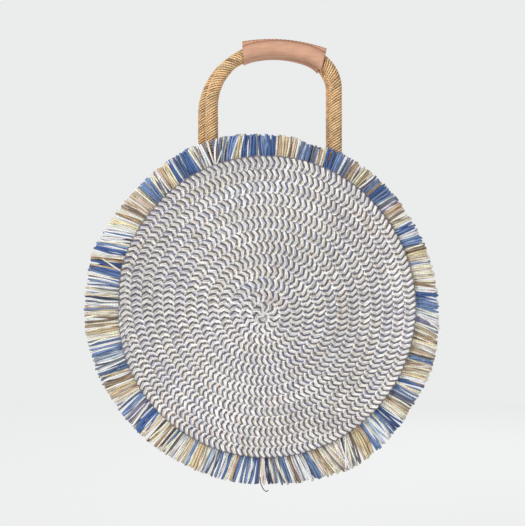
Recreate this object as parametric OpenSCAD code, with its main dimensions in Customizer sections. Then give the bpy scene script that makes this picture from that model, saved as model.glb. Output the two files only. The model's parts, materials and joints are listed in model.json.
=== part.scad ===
// Round woven shoulder bag: two plaited discs with a cut-yarn fringe, a lining,
// and two rope handles with leather grips. It hangs from the undersides of its grips.

/* [Woven panels] */
// Diameter of each woven disc
panel_d = 380; // [340:5:420]
// Thickness of the flat plait
panel_t = 7; // [5:0.5:9]
// Width of one row of plait, which is the row that is sewn at the rim
row_w = 13.5; // [10:0.5:16]
// Half the space left between the discs for the fringe tape
seam_gap = 2; // [1.9:0.1:3]
// How far each disc bulges from the bag's middle plane
panel_bulge = 22; // [16:1:30]
// Rounding of the disc's rim
rim_round = 1.5; // [0.5:0.5:2.5]

/* [Mouth] */
// Angle from straight up to each end of the mouth, in degrees
mouth_angle = 55; // [50:1:60]
// How far each disc stands off the middle plane at the mouth
mouth_gape = 26.5; // [25:0.5:32]

/* [Fringe] */
// Length of the yarn ends past the disc's rim
fringe_l = 34; // [24:1:44]
// Thickness of the layer of yarn
fringe_t = 3.4; // [2.6:0.2:3.6]
// Width of a bunch of yarn ends at its tip
tuft_w = 14; // [10:1:24]
// How much shorter the shortest bunches are
tuft_uneven = 4; // [0:0.5:8]
// How far the circle of tips lies to the left of the disc's centre
tips_left = 3.8; // [0:0.2:6]
// How far the circle of tips lies below the disc's centre
tips_down = 2.8; // [0:0.2:6]
// Width of the tape that holds the yarn
tape_w = 14; // [10:1:16]
// Thickness of the tape
tape_t = 2.8; // [2:0.2:3]
// How far the tape lies inside the disc's rim
tape_inset = 4; // [3:0.5:6]

/* [Handles] */
// Radius of the rope core
core_r = 6; // [4:0.5:7]
// Outer radius of the rope with its winding of twine
wrap_r = 8.3; // [7.5:0.1:8.5]
// Radius of the arch at its top
top_r = 130; // [110:5:150]
// Radius of the front handle's left shoulder
left_r = 72; // [66:1:76]
// Radius of the front handle's right shoulder
right_r = 46; // [42:1:50]
// Turn of the left shoulder, in degrees
left_turn = 80; // [76:1:84]
// Turn of the right shoulder, in degrees
right_turn = 70; // [68:1:74]
// How far the back handle's top lies to the left of the front handle's
back_shift = 4; // [0:0.5:6]
// Radius of the back handle's left shoulder
back_left_r = 80; // [72:1:84]
// Radius of the back handle's right shoulder
back_right_r = 47; // [42:1:50]
// Height of the hang point above the discs' centre
hang_h = 317.4; // [300:1:340]
// Distance of the hang point to the right of the discs' centre
hang_side = 13.4; // [8:0.2:16]
// Height of the line where the handles bend, above the top of the discs
bend_up = 1; // [0:0.5:6]
// How far past level a handle folds, in degrees
fold_past = 10; // [0:1:12]

/* [Sewn handle ends] */
// Width of a flattened rope end
strap_w = 16; // [12:1:18]
// Thickness of a flattened rope end
strap_t = 3; // [2:0.5:3.5]
// Length of a flattened rope end below the disc's rim
strap_l = 32; // [20:1:36]
// Height of the foot where the rope turns flat
foot_h = 5; // [3:0.5:8]

/* [Leather grips] */
// Thickness of the leather
leather_t = 1.8; // [1.2:0.1:2]
// Distance from the middle of the front arch to its grip's left end
grip_left = 42.5; // [34:0.5:46]
// Distance from the middle of the back arch to its grip's left end
back_grip_left = 38.5; // [34:0.5:46]
// Distance from the middle of an arch to its grip's right end
grip_right = 60.8; // [50:0.2:62]
// Slant of the left end, in degrees
left_slant = 3; // [0:1:10]
// Slant of the right end, in degrees
right_slant = 14; // [0:1:20]
// Radius of the flange's top edge
flange_r = 220; // [180:5:260]
// Rise of the flange above the sleeve at the edge's highest point
flange_up = 1.7; // [1.4:0.1:4]
// How far the edge's highest point lies to the left of the hang point
flange_left = 8; // [0:0.5:12]
// Length of a stitch in the flange
stitch_l = 3.2; // [2:0.2:4]
// Thickness of the stitching thread
stitch_w = 0.7; // [0.5:0.1:1]
// How far the stitches stand out of the leather
stitch_proud = 0.4; // [0.2:0.1:0.6]
// Distance of the stitches from the flange's edge
stitch_inset = 1.6; // [1.2:0.1:3]
// Distance from one stitch to the next
stitch_pitch = 5; // [4:0.5:8]

/* [Lining] */
// Thickness of the cotton lining
lining_t = 1.2; // [0.8:0.1:1.4]
// Distance from the disc's rim in to where the two halves of the lining are sewn to each other
lining_inset = 20; // [19:1:25]
// How far the lining bulges from the middle plane
lining_bulge = 19; // [14:0.5:20]
// Width of the hem along the mouth
hem_w = 8; // [6:0.5:10]
// Thickness of the hem
hem_t = 1.5; // [1:0.1:1.8]

/* [Slip pocket] */
// Width of the pocket
pocket_w = 130; // [90:2:140]
// Height of the pocket
pocket_h = 110; // [80:2:116]
// Height of the pocket's top edge above the discs' centre
pocket_top = 40; // [30:1:44]
// Thickness of the pocket's cloth
pocket_t = 1.2; // [0.8:0.1:1.6]
// Distance of the pocket's front from the bag's middle plane
pocket_y = 8; // [7:0.2:8.6]
// Height of the binding on the pocket's top edge
binding_h = 8; // [6:0.5:12]
// Thickness of the binding
binding_t = 0.6; // [0.4:0.1:0.8]

/* [Magnetic snap] */
// Radius of each half of the snap
snap_r = 9; // [7:0.5:10]
// Thickness of the half with the stud
male_t = 3; // [2.4:0.2:3.4]
// Thickness of the half with the hole
female_t = 3.6; // [3:0.2:4]
// Radius of the stud
stud_r = 3; // [2:0.25:4]
// Height of the stud
stud_h = 2.2; // [1.6:0.2:2.6]
// Distance of the snap below the top of the discs
snap_down = 25; // [22:1:30]
// Thickness of the backing washers
washer_t = 0.8; // [0.6:0.1:1]
// Width of a prong
prong_w = 4; // [3:0.5:5]
// Thickness of a prong
prong_t = 0.8; // [0.6:0.1:1]
// Distance of each prong from the snap's centre
prong_off = 4.5; // [3.5:0.25:5.5]

/* [Rim seam] */
// Radius of the sewing thread
thread_r = 0.6; // [0.4:0.1:0.8]
// Distance from one stitch to the next along the rim
seam_pitch = 28; // [20:1:60]

/* [Hidden] */

$fn = 64;
fit = 0.3; // clearance between pieces that lie against each other
overrun = 1; // how far a cutting shape passes the face it cuts
arc_step = 3.5; // angle between sections of a curved strip, and between a disc's corners at the mouth
rim_step = 7.5; // angle between a disc's corners round the sewn rim
join_turn = 0.3; // half the angle of the thin rings that join two lengths of rope
join_lip = fit / 6; // how far those rings stand proud
mouth_power = 3; // how fast a disc turns out towards the mouth
bulge_power = 1.2; // how flat a disc lies at its sewn row
lining_power = 1.1;
mouth_share = 0.65; // share of the full gape at which the lining starts to reach the tape
lip_share = 0.2; // further share of the gape over which it gets there
leg_blur = 6; // angle over which the lining bulges round a sewn rope end
notch_share = 0.36; // share of a bunch's width that is open at its tip
notch_depth_share = 0.6; // share of the fringe that the bunches are parted to

panel_r = panel_d / 2;
seam_r = panel_r - row_w;
tape_ro = panel_r - tape_inset;
tape_ri = tape_ro - tape_w;
yarn_ri = tape_ro + fit;
tips_r = panel_r + fringe_l;
notch_r = tips_r - fringe_l * notch_depth_share;
lining_r = panel_r - lining_inset;
lip_w = tape_ro - seam_gap - lining_r;
wrap_ri = core_r + fit;
sleeve_ri = wrap_r + fit;
sleeve_r = sleeve_ri + leather_t;
handle_y = sleeve_r + fit;
flange_t = 2 * leather_t;
flange_top = 2 * sleeve_r + flange_up;
bend_z = -hang_h + panel_r + bend_up;
strap_room = strap_t + 2 * fit;
lip_room = lining_t + seam_gap + tape_t / 2 + hem_t;

// Centres of the arch's three arcs, each [x, z], with the underside of the grip at zero; s holds the radii
// of the left and the right shoulder and the distance to the grip's left end
front_shape = [left_r, right_r, grip_left];
back_shape = [back_left_r, back_right_r, back_grip_left];
top_c = [0, sleeve_r - top_r];
function left_c(s) = top_c + (top_r - s[0]) * [-cos(left_turn), sin(left_turn)];
function right_c(s) = top_c + (top_r - s[1]) * [cos(right_turn), sin(right_turn)];
function left_x(s) = left_c(s)[0] - s[0];
function right_x(s) = right_c(s)[0] + s[1];

// Where the legs meet the bending line, to the right of the discs' centre
front_bends = [for (x = [left_x(front_shape), right_x(front_shape)]) x + hang_side];
back_bends = [for (x = [left_x(back_shape), right_x(back_shape)]) x + hang_side - back_shift];
function leg_angles(bends) = [for (x = bends) asin(x / panel_r)];
front_legs = leg_angles(front_bends);
back_legs = leg_angles(back_bends);

// Share of the gape at an angle from straight up, and the angle where the gape is y
function gape_share(a) = abs(turned(a)) >= mouth_angle ? 0 : cos(90 * (turned(a) / mouth_angle) ^ 2) ^ 2;
function gape_angle(y) = mouth_angle * sqrt(acos(sqrt(y / mouth_gape)) / 90);
function turned(a) = a > 180 ? a - 360 : a;

// Distance from the middle plane to a disc's inner face, and to a lining's outer face
function swell(r, edge, power) = max(0, 1 - (r / edge) ^ 2) ^ power;
function disc_y(r, a) =
    seam_gap + panel_bulge * swell(r, seam_r, bulge_power)
    + mouth_gape * gape_share(a) * (r / panel_r) ^ mouth_power;
function yarn_y(r, a) = disc_y(r, a) - seam_gap;
function leg_bulge(a, legs) =
    exp(-((turned(a) - legs[0]) / leg_blur) ^ 2) + exp(-((turned(a) - legs[1]) / leg_blur) ^ 2);
function lining_y(r, a, legs) =
    lining_t + fit / 2 + lining_bulge * swell(r, lining_r, lining_power)
    + gape_share(a) * max(0, mouth_gape * (r / panel_r) ^ mouth_power
        - lip_room - strap_room * leg_bulge(a, legs));
function lining_edge(a) =
    lining_r + lip_w * min(1, max(0, (gape_share(a) - mouth_share) / lip_share));

// Distance from the disc's centre to the circle of fringe tips, at an angle
function tips_at(a) =
    let (along = -tips_left * sin(a) - tips_down * cos(a))
    along + sqrt(tips_r ^ 2 - tips_left ^ 2 - tips_down ^ 2 + along ^ 2);

function place(r, a, y) = [r * sin(a), y, r * cos(a)];
function spread(from, to, step) =
    let (n = max(1, round((to - from) / step))) [for (i = [0 : n]) from + (to - from) * i / n];

// Angles of a disc's corners, once round
corners_at = concat(spread(-mouth_angle, mouth_angle, arc_step),
    [for (a = spread(mouth_angle, 360 - mouth_angle, rim_step))
        if (a > mouth_angle && a < 360 - mouth_angle) a]);

// A closed skin of rings round the disc's centre; each ring is [share of the edge, y function, y offset]
module skin(rings, edge) {
    m = len(rings);
    n = len(corners_at);
    function ring_point(g, a) = let (r = g[0] * edge(a)) place(r, a, g[1](r, a) + g[2]);
    function pole(g) = place(0, 0, g[1](0, 0) + g[2]);
    function at(k, j) = 1 + k * n + j % n;
    points = concat([pole(rings[0])],
        [for (g = rings, a = corners_at) ring_point(g, a)],
        [pole(rings[m - 1])]);
    faces = [for (j = [0 : n - 1]) each concat(
        [[0, at(0, j), at(0, j + 1)]],
        [for (k = [0 : m - 2]) each [[at(k, j), at(k + 1, j), at(k + 1, j + 1)],
            [at(k, j), at(k + 1, j + 1), at(k, j + 1)]]],
        [[len(points) - 1, at(m - 1, j + 1), at(m - 1, j)]])];
    polyhedron(points, faces);
}

// A bar through sections at the given angles; each section is a list of [radius, y] corners
module strip(angles, sections) {
    m = len(sections[0]);
    n = len(angles);
    points = [for (i = [0 : n - 1], c = sections[i]) place(c[0], angles[i], c[1])];
    function at(i, j) = i * m + j % m;
    faces = concat(
        [for (j = [1 : m - 2]) [at(0, 0), at(0, j + 1), at(0, j)]],
        [for (j = [1 : m - 2]) [at(n - 1, 0), at(n - 1, j), at(n - 1, j + 1)]],
        [for (i = [0 : n - 2], j = [0 : m - 1]) each [[at(i, j), at(i, j + 1), at(i + 1, j + 1)],
            [at(i, j), at(i + 1, j + 1), at(i + 1, j)]]]);
    polyhedron(points, faces);
}

module on_disc() {
    translate([-hang_side, 0, -hang_h]) children();
}

module front_side() {
    mirror([0, 1, 0]) children();
}

// Woven discs

module panel() {
    s = [0.17, 0.36, 0.54, 0.7, 0.83, 0.93];
    edge = function (a) panel_r;
    y = function (r, a) disc_y(r, a);
    round_share = 1 - rim_round / panel_r;
    rings = concat([for (k = s) [k, y, 0]],
        [[round_share, y, 0], [1, y, rim_round], [1, y, panel_t - rim_round], [round_share, y, panel_t]],
        [for (k = [len(s) - 1 : -1 : 0]) [s[k], y, panel_t]]);
    on_disc() skin(rings, edge);
}

module front_panel() {
    color([0.76, 0.75, 0.75]) front_side() panel();
}

module back_panel() {
    color([0.76, 0.75, 0.75]) panel();
}

// Fringe

// Corners of the parted bunches between two angles, each [angle, radius]
function bunches(from, to) =
    let (
        n = max(1, round((to - from) * PI / 180 * tips_r / tuft_w)),
        w = (to - from) / n,
        open = w * notch_share / 2)
    concat([for (k = [0 : n - 1]) let (a = from + k * w, l = -tuft_uneven * abs(sin(137 * k))) each [
        [a, notch_r], [a + open, tips_at(a + open) + l], [a + w - open, tips_at(a + w - open) + l]]],
        [[to, notch_r]]);

function yarn_section(c) =
    let (foot = yarn_y(yarn_ri, c[0]), tip = yarn_y(panel_r, c[0]), h = fringe_t / 2) [
        [yarn_ri, foot - h], [c[1], tip - h], [c[1], tip + h], [yarn_ri, foot + h]];

module yarn(from, to) {
    corners = bunches(from, to);
    strip([for (c = corners) c[0]], [for (c = corners) yarn_section(c)]);
}

module rim_fringe() {
    outline = [for (c = bunches(mouth_angle, 360 - mouth_angle)) [c[1] * sin(c[0]), c[1] * cos(c[0])]];
    color([0.55, 0.58, 0.68]) on_disc() rotate([90, 0, 0])
        linear_extrude(fringe_t, center = true) difference() {
            polygon(concat(outline, [[0, 0]]));
            circle(yarn_ri);
        }
}

// Angles between which the bunches stand in the way of a handle's leg
function tuft_span(x) = let (half = wrap_r + 4 * fit, near = asin((abs(x) - half) / tips_r),
    far = asin((abs(x) + half) / yarn_ri)) x < 0 ? [-far, -near] : [near, far];

part_gap = 0.2; // angle left open between the bunches of neighbouring pieces

module mouth_fringe(bends, end) {
    left = tuft_span(bends[0]);
    right = tuft_span(bends[1]);
    on_disc() {
        yarn(-end + part_gap, left[0] - part_gap);
        yarn(left[1] + part_gap, right[0] - part_gap);
        yarn(right[1] + part_gap, end - part_gap);
    }
}

module leg_tufts(bends) {
    on_disc() for (x = bends) yarn(tuft_span(x)[0] + part_gap, tuft_span(x)[1] - part_gap);
}

back_end = gape_angle((fringe_t + 4 * fit) / 2);

module front_mouth_fringe() {
    color([0.45, 0.5, 0.66]) front_side() mouth_fringe(front_bends, mouth_angle);
}

module back_mouth_fringe() {
    color([0.45, 0.5, 0.66]) mouth_fringe(back_bends, back_end);
}

module front_leg_tufts() {
    color([0.8, 0.74, 0.62]) front_side() leg_tufts(front_bends);
}

module back_leg_tufts() {
    color([0.8, 0.74, 0.62]) leg_tufts(back_bends);
}

// Tape that holds the yarn

module rim_tape() {
    color([0.85, 0.83, 0.78]) on_disc() rotate([90, 0, 0])
        rotate_extrude(angle = 360 - 2 * mouth_angle, start = 90 + mouth_angle)
            translate([tape_ri, -tape_t / 2]) square([tape_w, tape_t]);
}

module mouth_tape(end) {
    angles = spread(-end, end, arc_step);
    h = tape_t / 2;
    on_disc() strip(angles, [for (a = angles) let (low = yarn_y(tape_ri, a), high = yarn_y(tape_ro, a)) [
        [tape_ri, low - h], [tape_ro, high - h], [tape_ro, high + h], [tape_ri, low + h]]]);
}

module front_mouth_tape() {
    color([0.85, 0.83, 0.78]) front_side() mouth_tape(mouth_angle - part_gap);
}

module back_mouth_tape() {
    color([0.85, 0.83, 0.78]) mouth_tape(back_end - part_gap);
}

// Lining

module lining(legs) {
    s = [0.25, 0.5, 0.7, 0.83, 0.92];
    y = function (r, a) lining_y(r, a, legs);
    edge = function (a) lining_edge(a);
    rings = concat([for (k = s) [k, y, -lining_t]], [[1, y, -lining_t], [1, y, 0]],
        [for (k = [len(s) - 1 : -1 : 0]) [s[k], y, 0]]);
    on_disc() skin(rings, edge);
}

module front_lining() {
    color([0.86, 0.82, 0.74]) front_side() lining(front_legs);
}

module back_lining() {
    color([0.86, 0.82, 0.74]) lining(back_legs);
}

// Hem along the mouth, between the lining and the tape, parted round the sewn rope ends

function half_strap() = asin((strap_w / 2 + 2 * fit) / (panel_r - strap_l));

module hem_part(from, to, legs) {
    angles = spread(from, to, arc_step);
    on_disc() strip(angles, [for (a = angles)
        let (high = lining_edge(a), low = high - hem_w, back = tape_t / 2 + fit) [
            [low, lining_y(low, a, legs) + fit],
            [high, lining_y(high, a, legs) + fit],
            [high, yarn_y(high, a) - back],
            [low, min(yarn_y(low, a) - back, lining_y(low, a, legs) + hem_w)]]]);
}

module mouth_hem(legs) {
    hem_part(legs[0] + half_strap(), legs[1] - half_strap(), legs);
}

module front_mouth_hem() {
    color([0.8, 0.75, 0.66]) front_side() mouth_hem(front_legs);
}

module back_mouth_hem() {
    color([0.8, 0.75, 0.66]) mouth_hem(back_legs);
}

// Slip pocket on the back lining

module lining_hollow() {
    s = [0.25, 0.4, 0.55, 0.7, 0.83];
    flat = function (r, a) 0;
    y = function (r, a) lining_y(r, a, back_legs) - lining_t - fit;
    edge = function (a) lining_r;
    rings = concat([for (k = s) [k, flat, 0]], [for (k = [len(s) - 1 : -1 : 0]) [s[k], y, 0]]);
    skin(rings, edge);
}

module slip_pocket() {
    foot = pocket_top - pocket_h;
    depth = lining_bulge + lining_t;
    color([0.9, 0.87, 0.8]) on_disc() intersection() {
        lining_hollow();
        difference() {
            translate([-pocket_w / 2, pocket_y, foot]) cube([pocket_w, depth, pocket_h]);
            translate([-pocket_w / 2 + pocket_t, pocket_y + pocket_t, foot + pocket_t])
                cube([pocket_w - 2 * pocket_t, depth, pocket_h]);
        }
    }
}

module pocket_binding() {
    outer_t = pocket_t + 2 * binding_t;
    color([0.35, 0.42, 0.6]) on_disc() difference() {
        translate([-pocket_w / 2, pocket_y - binding_t, pocket_top - binding_h + binding_t])
            cube([pocket_w, outer_t, binding_h]);
        translate([-pocket_w / 2 - overrun, pocket_y, pocket_top - binding_h + binding_t - overrun])
            cube([pocket_w + 2 * overrun, pocket_t, binding_h - binding_t + overrun]);
        for (side = [-1, 1]) translate([side * pocket_w / 2, pocket_y + pocket_t, pocket_top - binding_h / 2])
            cube([2 * (pocket_t + fit), outer_t, 2 * binding_h], center = true);
    }
}

// Magnetic snap

snap_z = panel_r - snap_down;
washer_gap = 3 * fit; // the lining bulges this much behind the flat washer

function snap_slope(legs) =
    atan((lining_y(snap_z + fit, 0, legs) - lining_y(snap_z - fit, 0, legs)) / (2 * fit));

// Turns a shape drawn along Z so that Z points out of the lining towards the disc
module at_snap(legs, off) {
    on_disc() translate([0, lining_y(snap_z, 0, legs), snap_z]) rotate([-90 - snap_slope(legs), 0, 0])
        translate([0, 0, off]) children();
}

module prongs() {
    reach = lining_t + fit + washer_gap + washer_t;
    for (side = [-1, 1]) translate([side * prong_off, 0, reach / 2])
        cube([prong_t, prong_w, reach], center = true);
}

module washer() {
    difference() {
        cylinder(h = washer_t, r = snap_r);
        for (side = [-1, 1]) translate([side * prong_off, 0, washer_t / 2])
            cube([prong_t + fit, prong_w + fit, washer_t + 2 * overrun], center = true);
    }
}

module snap_male() {
    color([0.8, 0.72, 0.5]) front_side() at_snap(front_legs, -lining_t - fit) {
        translate([0, 0, -male_t]) cylinder(h = male_t, r = snap_r);
        translate([0, 0, -male_t - stud_h]) cylinder(h = stud_h + overrun, r = stud_r);
        prongs();
    }
}

module snap_female() {
    color([0.8, 0.72, 0.5]) at_snap(back_legs, -lining_t - fit) {
        difference() {
            translate([0, 0, -female_t]) cylinder(h = female_t, r = snap_r);
            translate([0, 0, -female_t - overrun]) cylinder(h = stud_h + fit + overrun, r = stud_r + fit);
        }
        prongs();
    }
}

module male_washer() {
    color([0.7, 0.7, 0.72]) front_side() at_snap(front_legs, washer_gap) washer();
}

module female_washer() {
    color([0.7, 0.7, 0.72]) at_snap(back_legs, washer_gap) washer();
}

// Stitches through both discs and the tape, all round the sewn rim

module rim_stitches() {
    at_r = (tape_ri + tape_ro) / 2;
    reach = disc_y(at_r, 180) + panel_t / 2;
    step = seam_pitch / at_r * 180 / PI;
    color([0.9, 0.88, 0.82]) on_disc() for (a = spread(mouth_angle + step, 360 - mouth_angle - step, step))
        rotate([0, a, 0]) translate([0, 0, at_r]) rotate([90, 0, 0])
            cylinder(h = 2 * reach, r = thread_r, center = true);
}

// Handles

// One arc of the arch: an open ring of rope between two angles
module arc_rope(c, r, from, to, outer, inner) {
    translate([c[0], 0, c[1]]) rotate([90, 0, 0]) rotate_extrude(angle = to - from, start = from)
        translate([r, 0]) difference() {
            circle(outer);
            if (inner > 0) circle(inner);
        }
}

// The three arcs of the arch, with a thin ring wherever one length of rope meets the next
module arch(s, outer, inner) {
    arc_rope(left_c(s), s[0], 180 - left_turn, 180, outer, inner);
    arc_rope(top_c, top_r, right_turn, 180 - left_turn, outer, inner);
    arc_rope(right_c(s), s[1], 0, right_turn, outer, inner);
    for (j = [[left_c(s), s[0], 180], [top_c, top_r, 180 - left_turn], [top_c, top_r, right_turn],
        [right_c(s), s[1], 0]])
        arc_rope(j[0], j[1], j[2] - join_turn, j[2] + join_turn, outer + join_lip, inner - join_lip);
}

module legs(s, outer, inner) {
    for (leg = [[left_x(s), left_c(s)[1]], [right_x(s), right_c(s)[1]]]) {
        h = leg[1] - bend_z;
        translate([leg[0], 0, bend_z]) difference() {
            cylinder(h = h, r = outer);
            if (inner > 0) translate([0, 0, -overrun]) cylinder(h = h + 2 * overrun, r = inner);
        }
    }
}

module rope_core(s) {
    color([0.9, 0.87, 0.8]) {
        arch(s, core_r, 0);
        legs(s, core_r, 0);
    }
}

module rope_winding(s) {
    color([0.76, 0.6, 0.38]) {
        arch(s, wrap_r, wrap_ri);
        legs(s, wrap_r, wrap_ri);
        for (x = [left_x(s), right_x(s)]) translate([x, 0, bend_z]) difference() {
            sphere(wrap_r);
            translate([0, 0, wrap_r]) cube(2 * wrap_r, center = true);
        }
    }
}

// Outline of the grip between its two slanted ends
module grip_outline(s) {
    h = 2 * sleeve_r + s[2];
    polygon([[-s[2] - h * tan(left_slant), h], [grip_right + h * tan(right_slant), h],
        [grip_right - h * tan(right_slant), -h], [-s[2] + h * tan(left_slant), -h]]);
}

// What lies inside the arch's centre line
module under_arch(s) {
    far = 2 * top_r;
    translate(left_c(s)) circle(s[0]);
    translate(right_c(s)) circle(s[1]);
    intersection() {
        translate(top_c) circle(top_r);
        translate(top_c) polygon([[0, 0], far * [cos(right_turn), sin(right_turn)],
            far * [-cos(left_turn), sin(left_turn)]]);
    }
}

module grip_flange(s) {
    rotate([90, 0, 0]) linear_extrude(flange_t, center = true) difference() {
        translate([-flange_left, flange_top - flange_r]) circle(flange_r);
        under_arch(s);
        translate([-flange_r - s[2], -2 * flange_r]) square([2 * flange_r, 2 * flange_r - s[2]]);
    }
}

module grip(s) {
    color([0.84, 0.62, 0.48]) intersection() {
        rotate([90, 0, 0]) linear_extrude(4 * sleeve_r, center = true) grip_outline(s);
        union() {
            arch(s, sleeve_r, sleeve_ri);
            difference() {
                grip_flange(s);
                arch(s, sleeve_ri + leather_t / 2, 0);
            }
        }
    }
}

module grip_stitches(s) {
    r = flange_r - stitch_inset;
    from = asin((flange_left - s[2] + stitch_pitch) / r);
    to = asin((flange_left + grip_right - stitch_pitch / 2) / r);
    color([0.93, 0.82, 0.7]) translate([-flange_left, 0, flange_top - flange_r])
        for (a = spread(from, to, stitch_pitch / r * 180 / PI)) rotate([0, a, 0]) translate([0, 0, r])
            cube([stitch_l, flange_t + 2 * stitch_proud, stitch_w], center = true);
}

module front_place() {
    translate([0, -handle_y, 0]) children();
}

module back_place() {
    translate([-back_shift, handle_y, 0]) children();
}

module front_rope_core() {
    front_place() rope_core(front_shape);
}

module front_rope_winding() {
    front_place() rope_winding(front_shape);
}

module front_grip() {
    front_place() grip(front_shape);
}

module front_grip_stitches() {
    front_place() grip_stitches(front_shape);
}

module back_rope_core() {
    back_place() rope_core(back_shape);
}

module back_rope_winding() {
    back_place() rope_winding(back_shape);
}

module back_grip() {
    back_place() grip(back_shape);
}

module back_grip_stitches() {
    back_place() grip_stitches(back_shape);
}

// Rope ends, flattened and sewn between the disc and the lining, with a seat for the bending rope

module sewn_end(x, a) {
    half = asin(strap_w / 2 / (panel_r - strap_l));
    face = tape_t / 2 + fit;
    lip_r = lining_edge(0);
    seat_z = sqrt(lip_r ^ 2 - (abs(x) - wrap_r) ^ 2) + 2 * fit;
    bend_h = panel_r + bend_up;
    drop = wrap_r / cos(fold_past) + wrap_r * tan(fold_past) + 3 * fit;
    cut_y = handle_y - wrap_r * sin(fold_past);
    radii = [panel_r - strap_l, tape_ri, tape_ro];
    angles = [a - half, a, a + half];
    color([0.72, 0.56, 0.36]) {
        strip(angles, [for (b = angles) concat(
            [for (r = radii) [r, yarn_y(r, b) - face - strap_t]],
            [[panel_r + foot_h / 2, yarn_y(tape_ro, b) - face - strap_t]],
            [[panel_r + foot_h / 2, yarn_y(tape_ro, b) - face]],
            [for (k = [2 : -1 : 0]) [radii[k], yarn_y(radii[k], b) - face]])]);
        translate([x - strap_w / 2, handle_y, seat_z])
            cube([strap_w, yarn_y(tape_ro, abs(a) + half) - face - handle_y, foot_h]);
        difference() {
            translate([x, handle_y, seat_z]) cylinder(h = bend_h - seat_z, r = wrap_r);
            translate([x, handle_y, bend_h]) sphere(wrap_r + fit);
            translate([x - wrap_r - overrun, cut_y, bend_h - drop])
                cube([2 * wrap_r + 2 * overrun, 3 * wrap_r, 2 * drop]);
        }
    }
}

module front_handle_ends() {
    front_side() on_disc() for (i = [0, 1]) sewn_end(front_bends[i], front_legs[i]);
}

module back_handle_ends() {
    on_disc() for (i = [0, 1]) sewn_end(back_bends[i], back_legs[i]);
}

front_panel();
back_panel();
rim_fringe();
rim_tape();
front_mouth_fringe();
front_mouth_tape();
back_mouth_fringe();
back_mouth_tape();
front_leg_tufts();
back_leg_tufts();
front_lining();
back_lining();
front_mouth_hem();
back_mouth_hem();
slip_pocket();
pocket_binding();
snap_male();
snap_female();
male_washer();
female_washer();
rim_stitches();
front_handle_ends();
back_handle_ends();
front_rope_core();
front_rope_winding();
front_grip();
front_grip_stitches();
back_rope_core();
back_rope_winding();
back_grip();
back_grip_stitches();
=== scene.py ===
"""Round woven shoulder bag: plaited discs, yarn fringe, rope handles, leather grips and a cotton lining."""
import json
import math

import bpy
import numpy as np
from bpy.props import FloatProperty, FloatVectorProperty, IntProperty, PointerProperty
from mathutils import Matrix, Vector


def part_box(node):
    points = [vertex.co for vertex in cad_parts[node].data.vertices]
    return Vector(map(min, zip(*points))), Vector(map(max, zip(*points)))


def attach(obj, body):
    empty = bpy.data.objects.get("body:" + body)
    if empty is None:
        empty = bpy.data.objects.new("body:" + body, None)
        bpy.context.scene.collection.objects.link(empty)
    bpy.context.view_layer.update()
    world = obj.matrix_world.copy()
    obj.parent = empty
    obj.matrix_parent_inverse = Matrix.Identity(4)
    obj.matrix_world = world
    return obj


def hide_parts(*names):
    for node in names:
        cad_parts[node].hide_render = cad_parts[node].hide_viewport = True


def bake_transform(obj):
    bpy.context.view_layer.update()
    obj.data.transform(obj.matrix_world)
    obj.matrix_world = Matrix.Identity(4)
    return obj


bl_info = {
    "name": "Round woven bag",
    "version": (1, 0, 0),
    "blender": (4, 5, 0),
    "location": "3D View > Sidebar > Bag",
    "description": "Builds a round woven shoulder bag with a yarn fringe and rope handles",
    "category": "Add Mesh",
}

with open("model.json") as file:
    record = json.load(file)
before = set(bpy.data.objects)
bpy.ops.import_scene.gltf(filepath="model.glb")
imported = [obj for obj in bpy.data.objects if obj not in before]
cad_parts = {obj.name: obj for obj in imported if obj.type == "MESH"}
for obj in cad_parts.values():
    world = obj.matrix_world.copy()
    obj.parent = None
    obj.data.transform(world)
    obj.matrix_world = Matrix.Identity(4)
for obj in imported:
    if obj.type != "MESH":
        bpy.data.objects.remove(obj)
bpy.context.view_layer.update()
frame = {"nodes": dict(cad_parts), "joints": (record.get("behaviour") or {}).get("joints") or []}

MM = 0.001
FIT = 0.3 * MM  # clearance between pieces
PICTURE = 526  # longer side of the picture, in pixels
SIDES = {"front": -1, "back": 1}  # which way each side of the bag lies along Y
TAPE_LOW, TAPE_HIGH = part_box("rim_tape")
TAPE_R = (TAPE_HIGH[0] - TAPE_LOW[0]) / 2
CENTRE = np.array([(TAPE_LOW[0] + TAPE_HIGH[0]) / 2, 0, TAPE_LOW[2] + TAPE_R])
BENDS = {j["child"]: np.array(j["pos_m"]) for j in frame["joints"]}


def millimetres(name, description, size):
    """A property for a length, with its default in millimetres."""
    return FloatProperty(name=name, description=description, default=size * MM, unit="LENGTH")


def degrees(name, description, size):
    """A property for an angle, with its default in degrees."""
    return FloatProperty(name=name, description=description, default=math.radians(size), subtype="ANGLE")


def linear_colour(name, description, value):
    """A property for a linear colour."""
    return FloatVectorProperty(name=name, description=description, default=value, subtype="COLOR", size=3)


class PlaitSizes(bpy.types.PropertyGroup):
    """The two woven discs."""

    radius: millimetres("Radius", "Radius of each disc", 190)
    rows: IntProperty(name="Rows", description="Turns of plait from the centre to the rim", default=14)
    lobe: millimetres("Lobe pitch", "From one lobe of the plait to the next", 7)
    thickness: millimetres("Thickness", "Thickness of the plait", 7)
    yarn: millimetres("Yarn radius", "Radius of one yarn", 1.15)
    bulge: millimetres("Bulge", "How far a disc swells out", 22)
    seam_gap: millimetres("Seam gap", "From the middle plane to a disc at the seam", 2)
    gape: millimetres("Gape", "How far a disc stands off at the mouth", 26.5)
    mouth: degrees("Mouth", "Angle from straight up to an end of the mouth", 55)
    start_x: millimetres("Start, across", "The plait's start, right of the disc's centre", -4)
    start_z: millimetres("Start, up", "The plait's start, above the disc's centre", -10)


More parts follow.
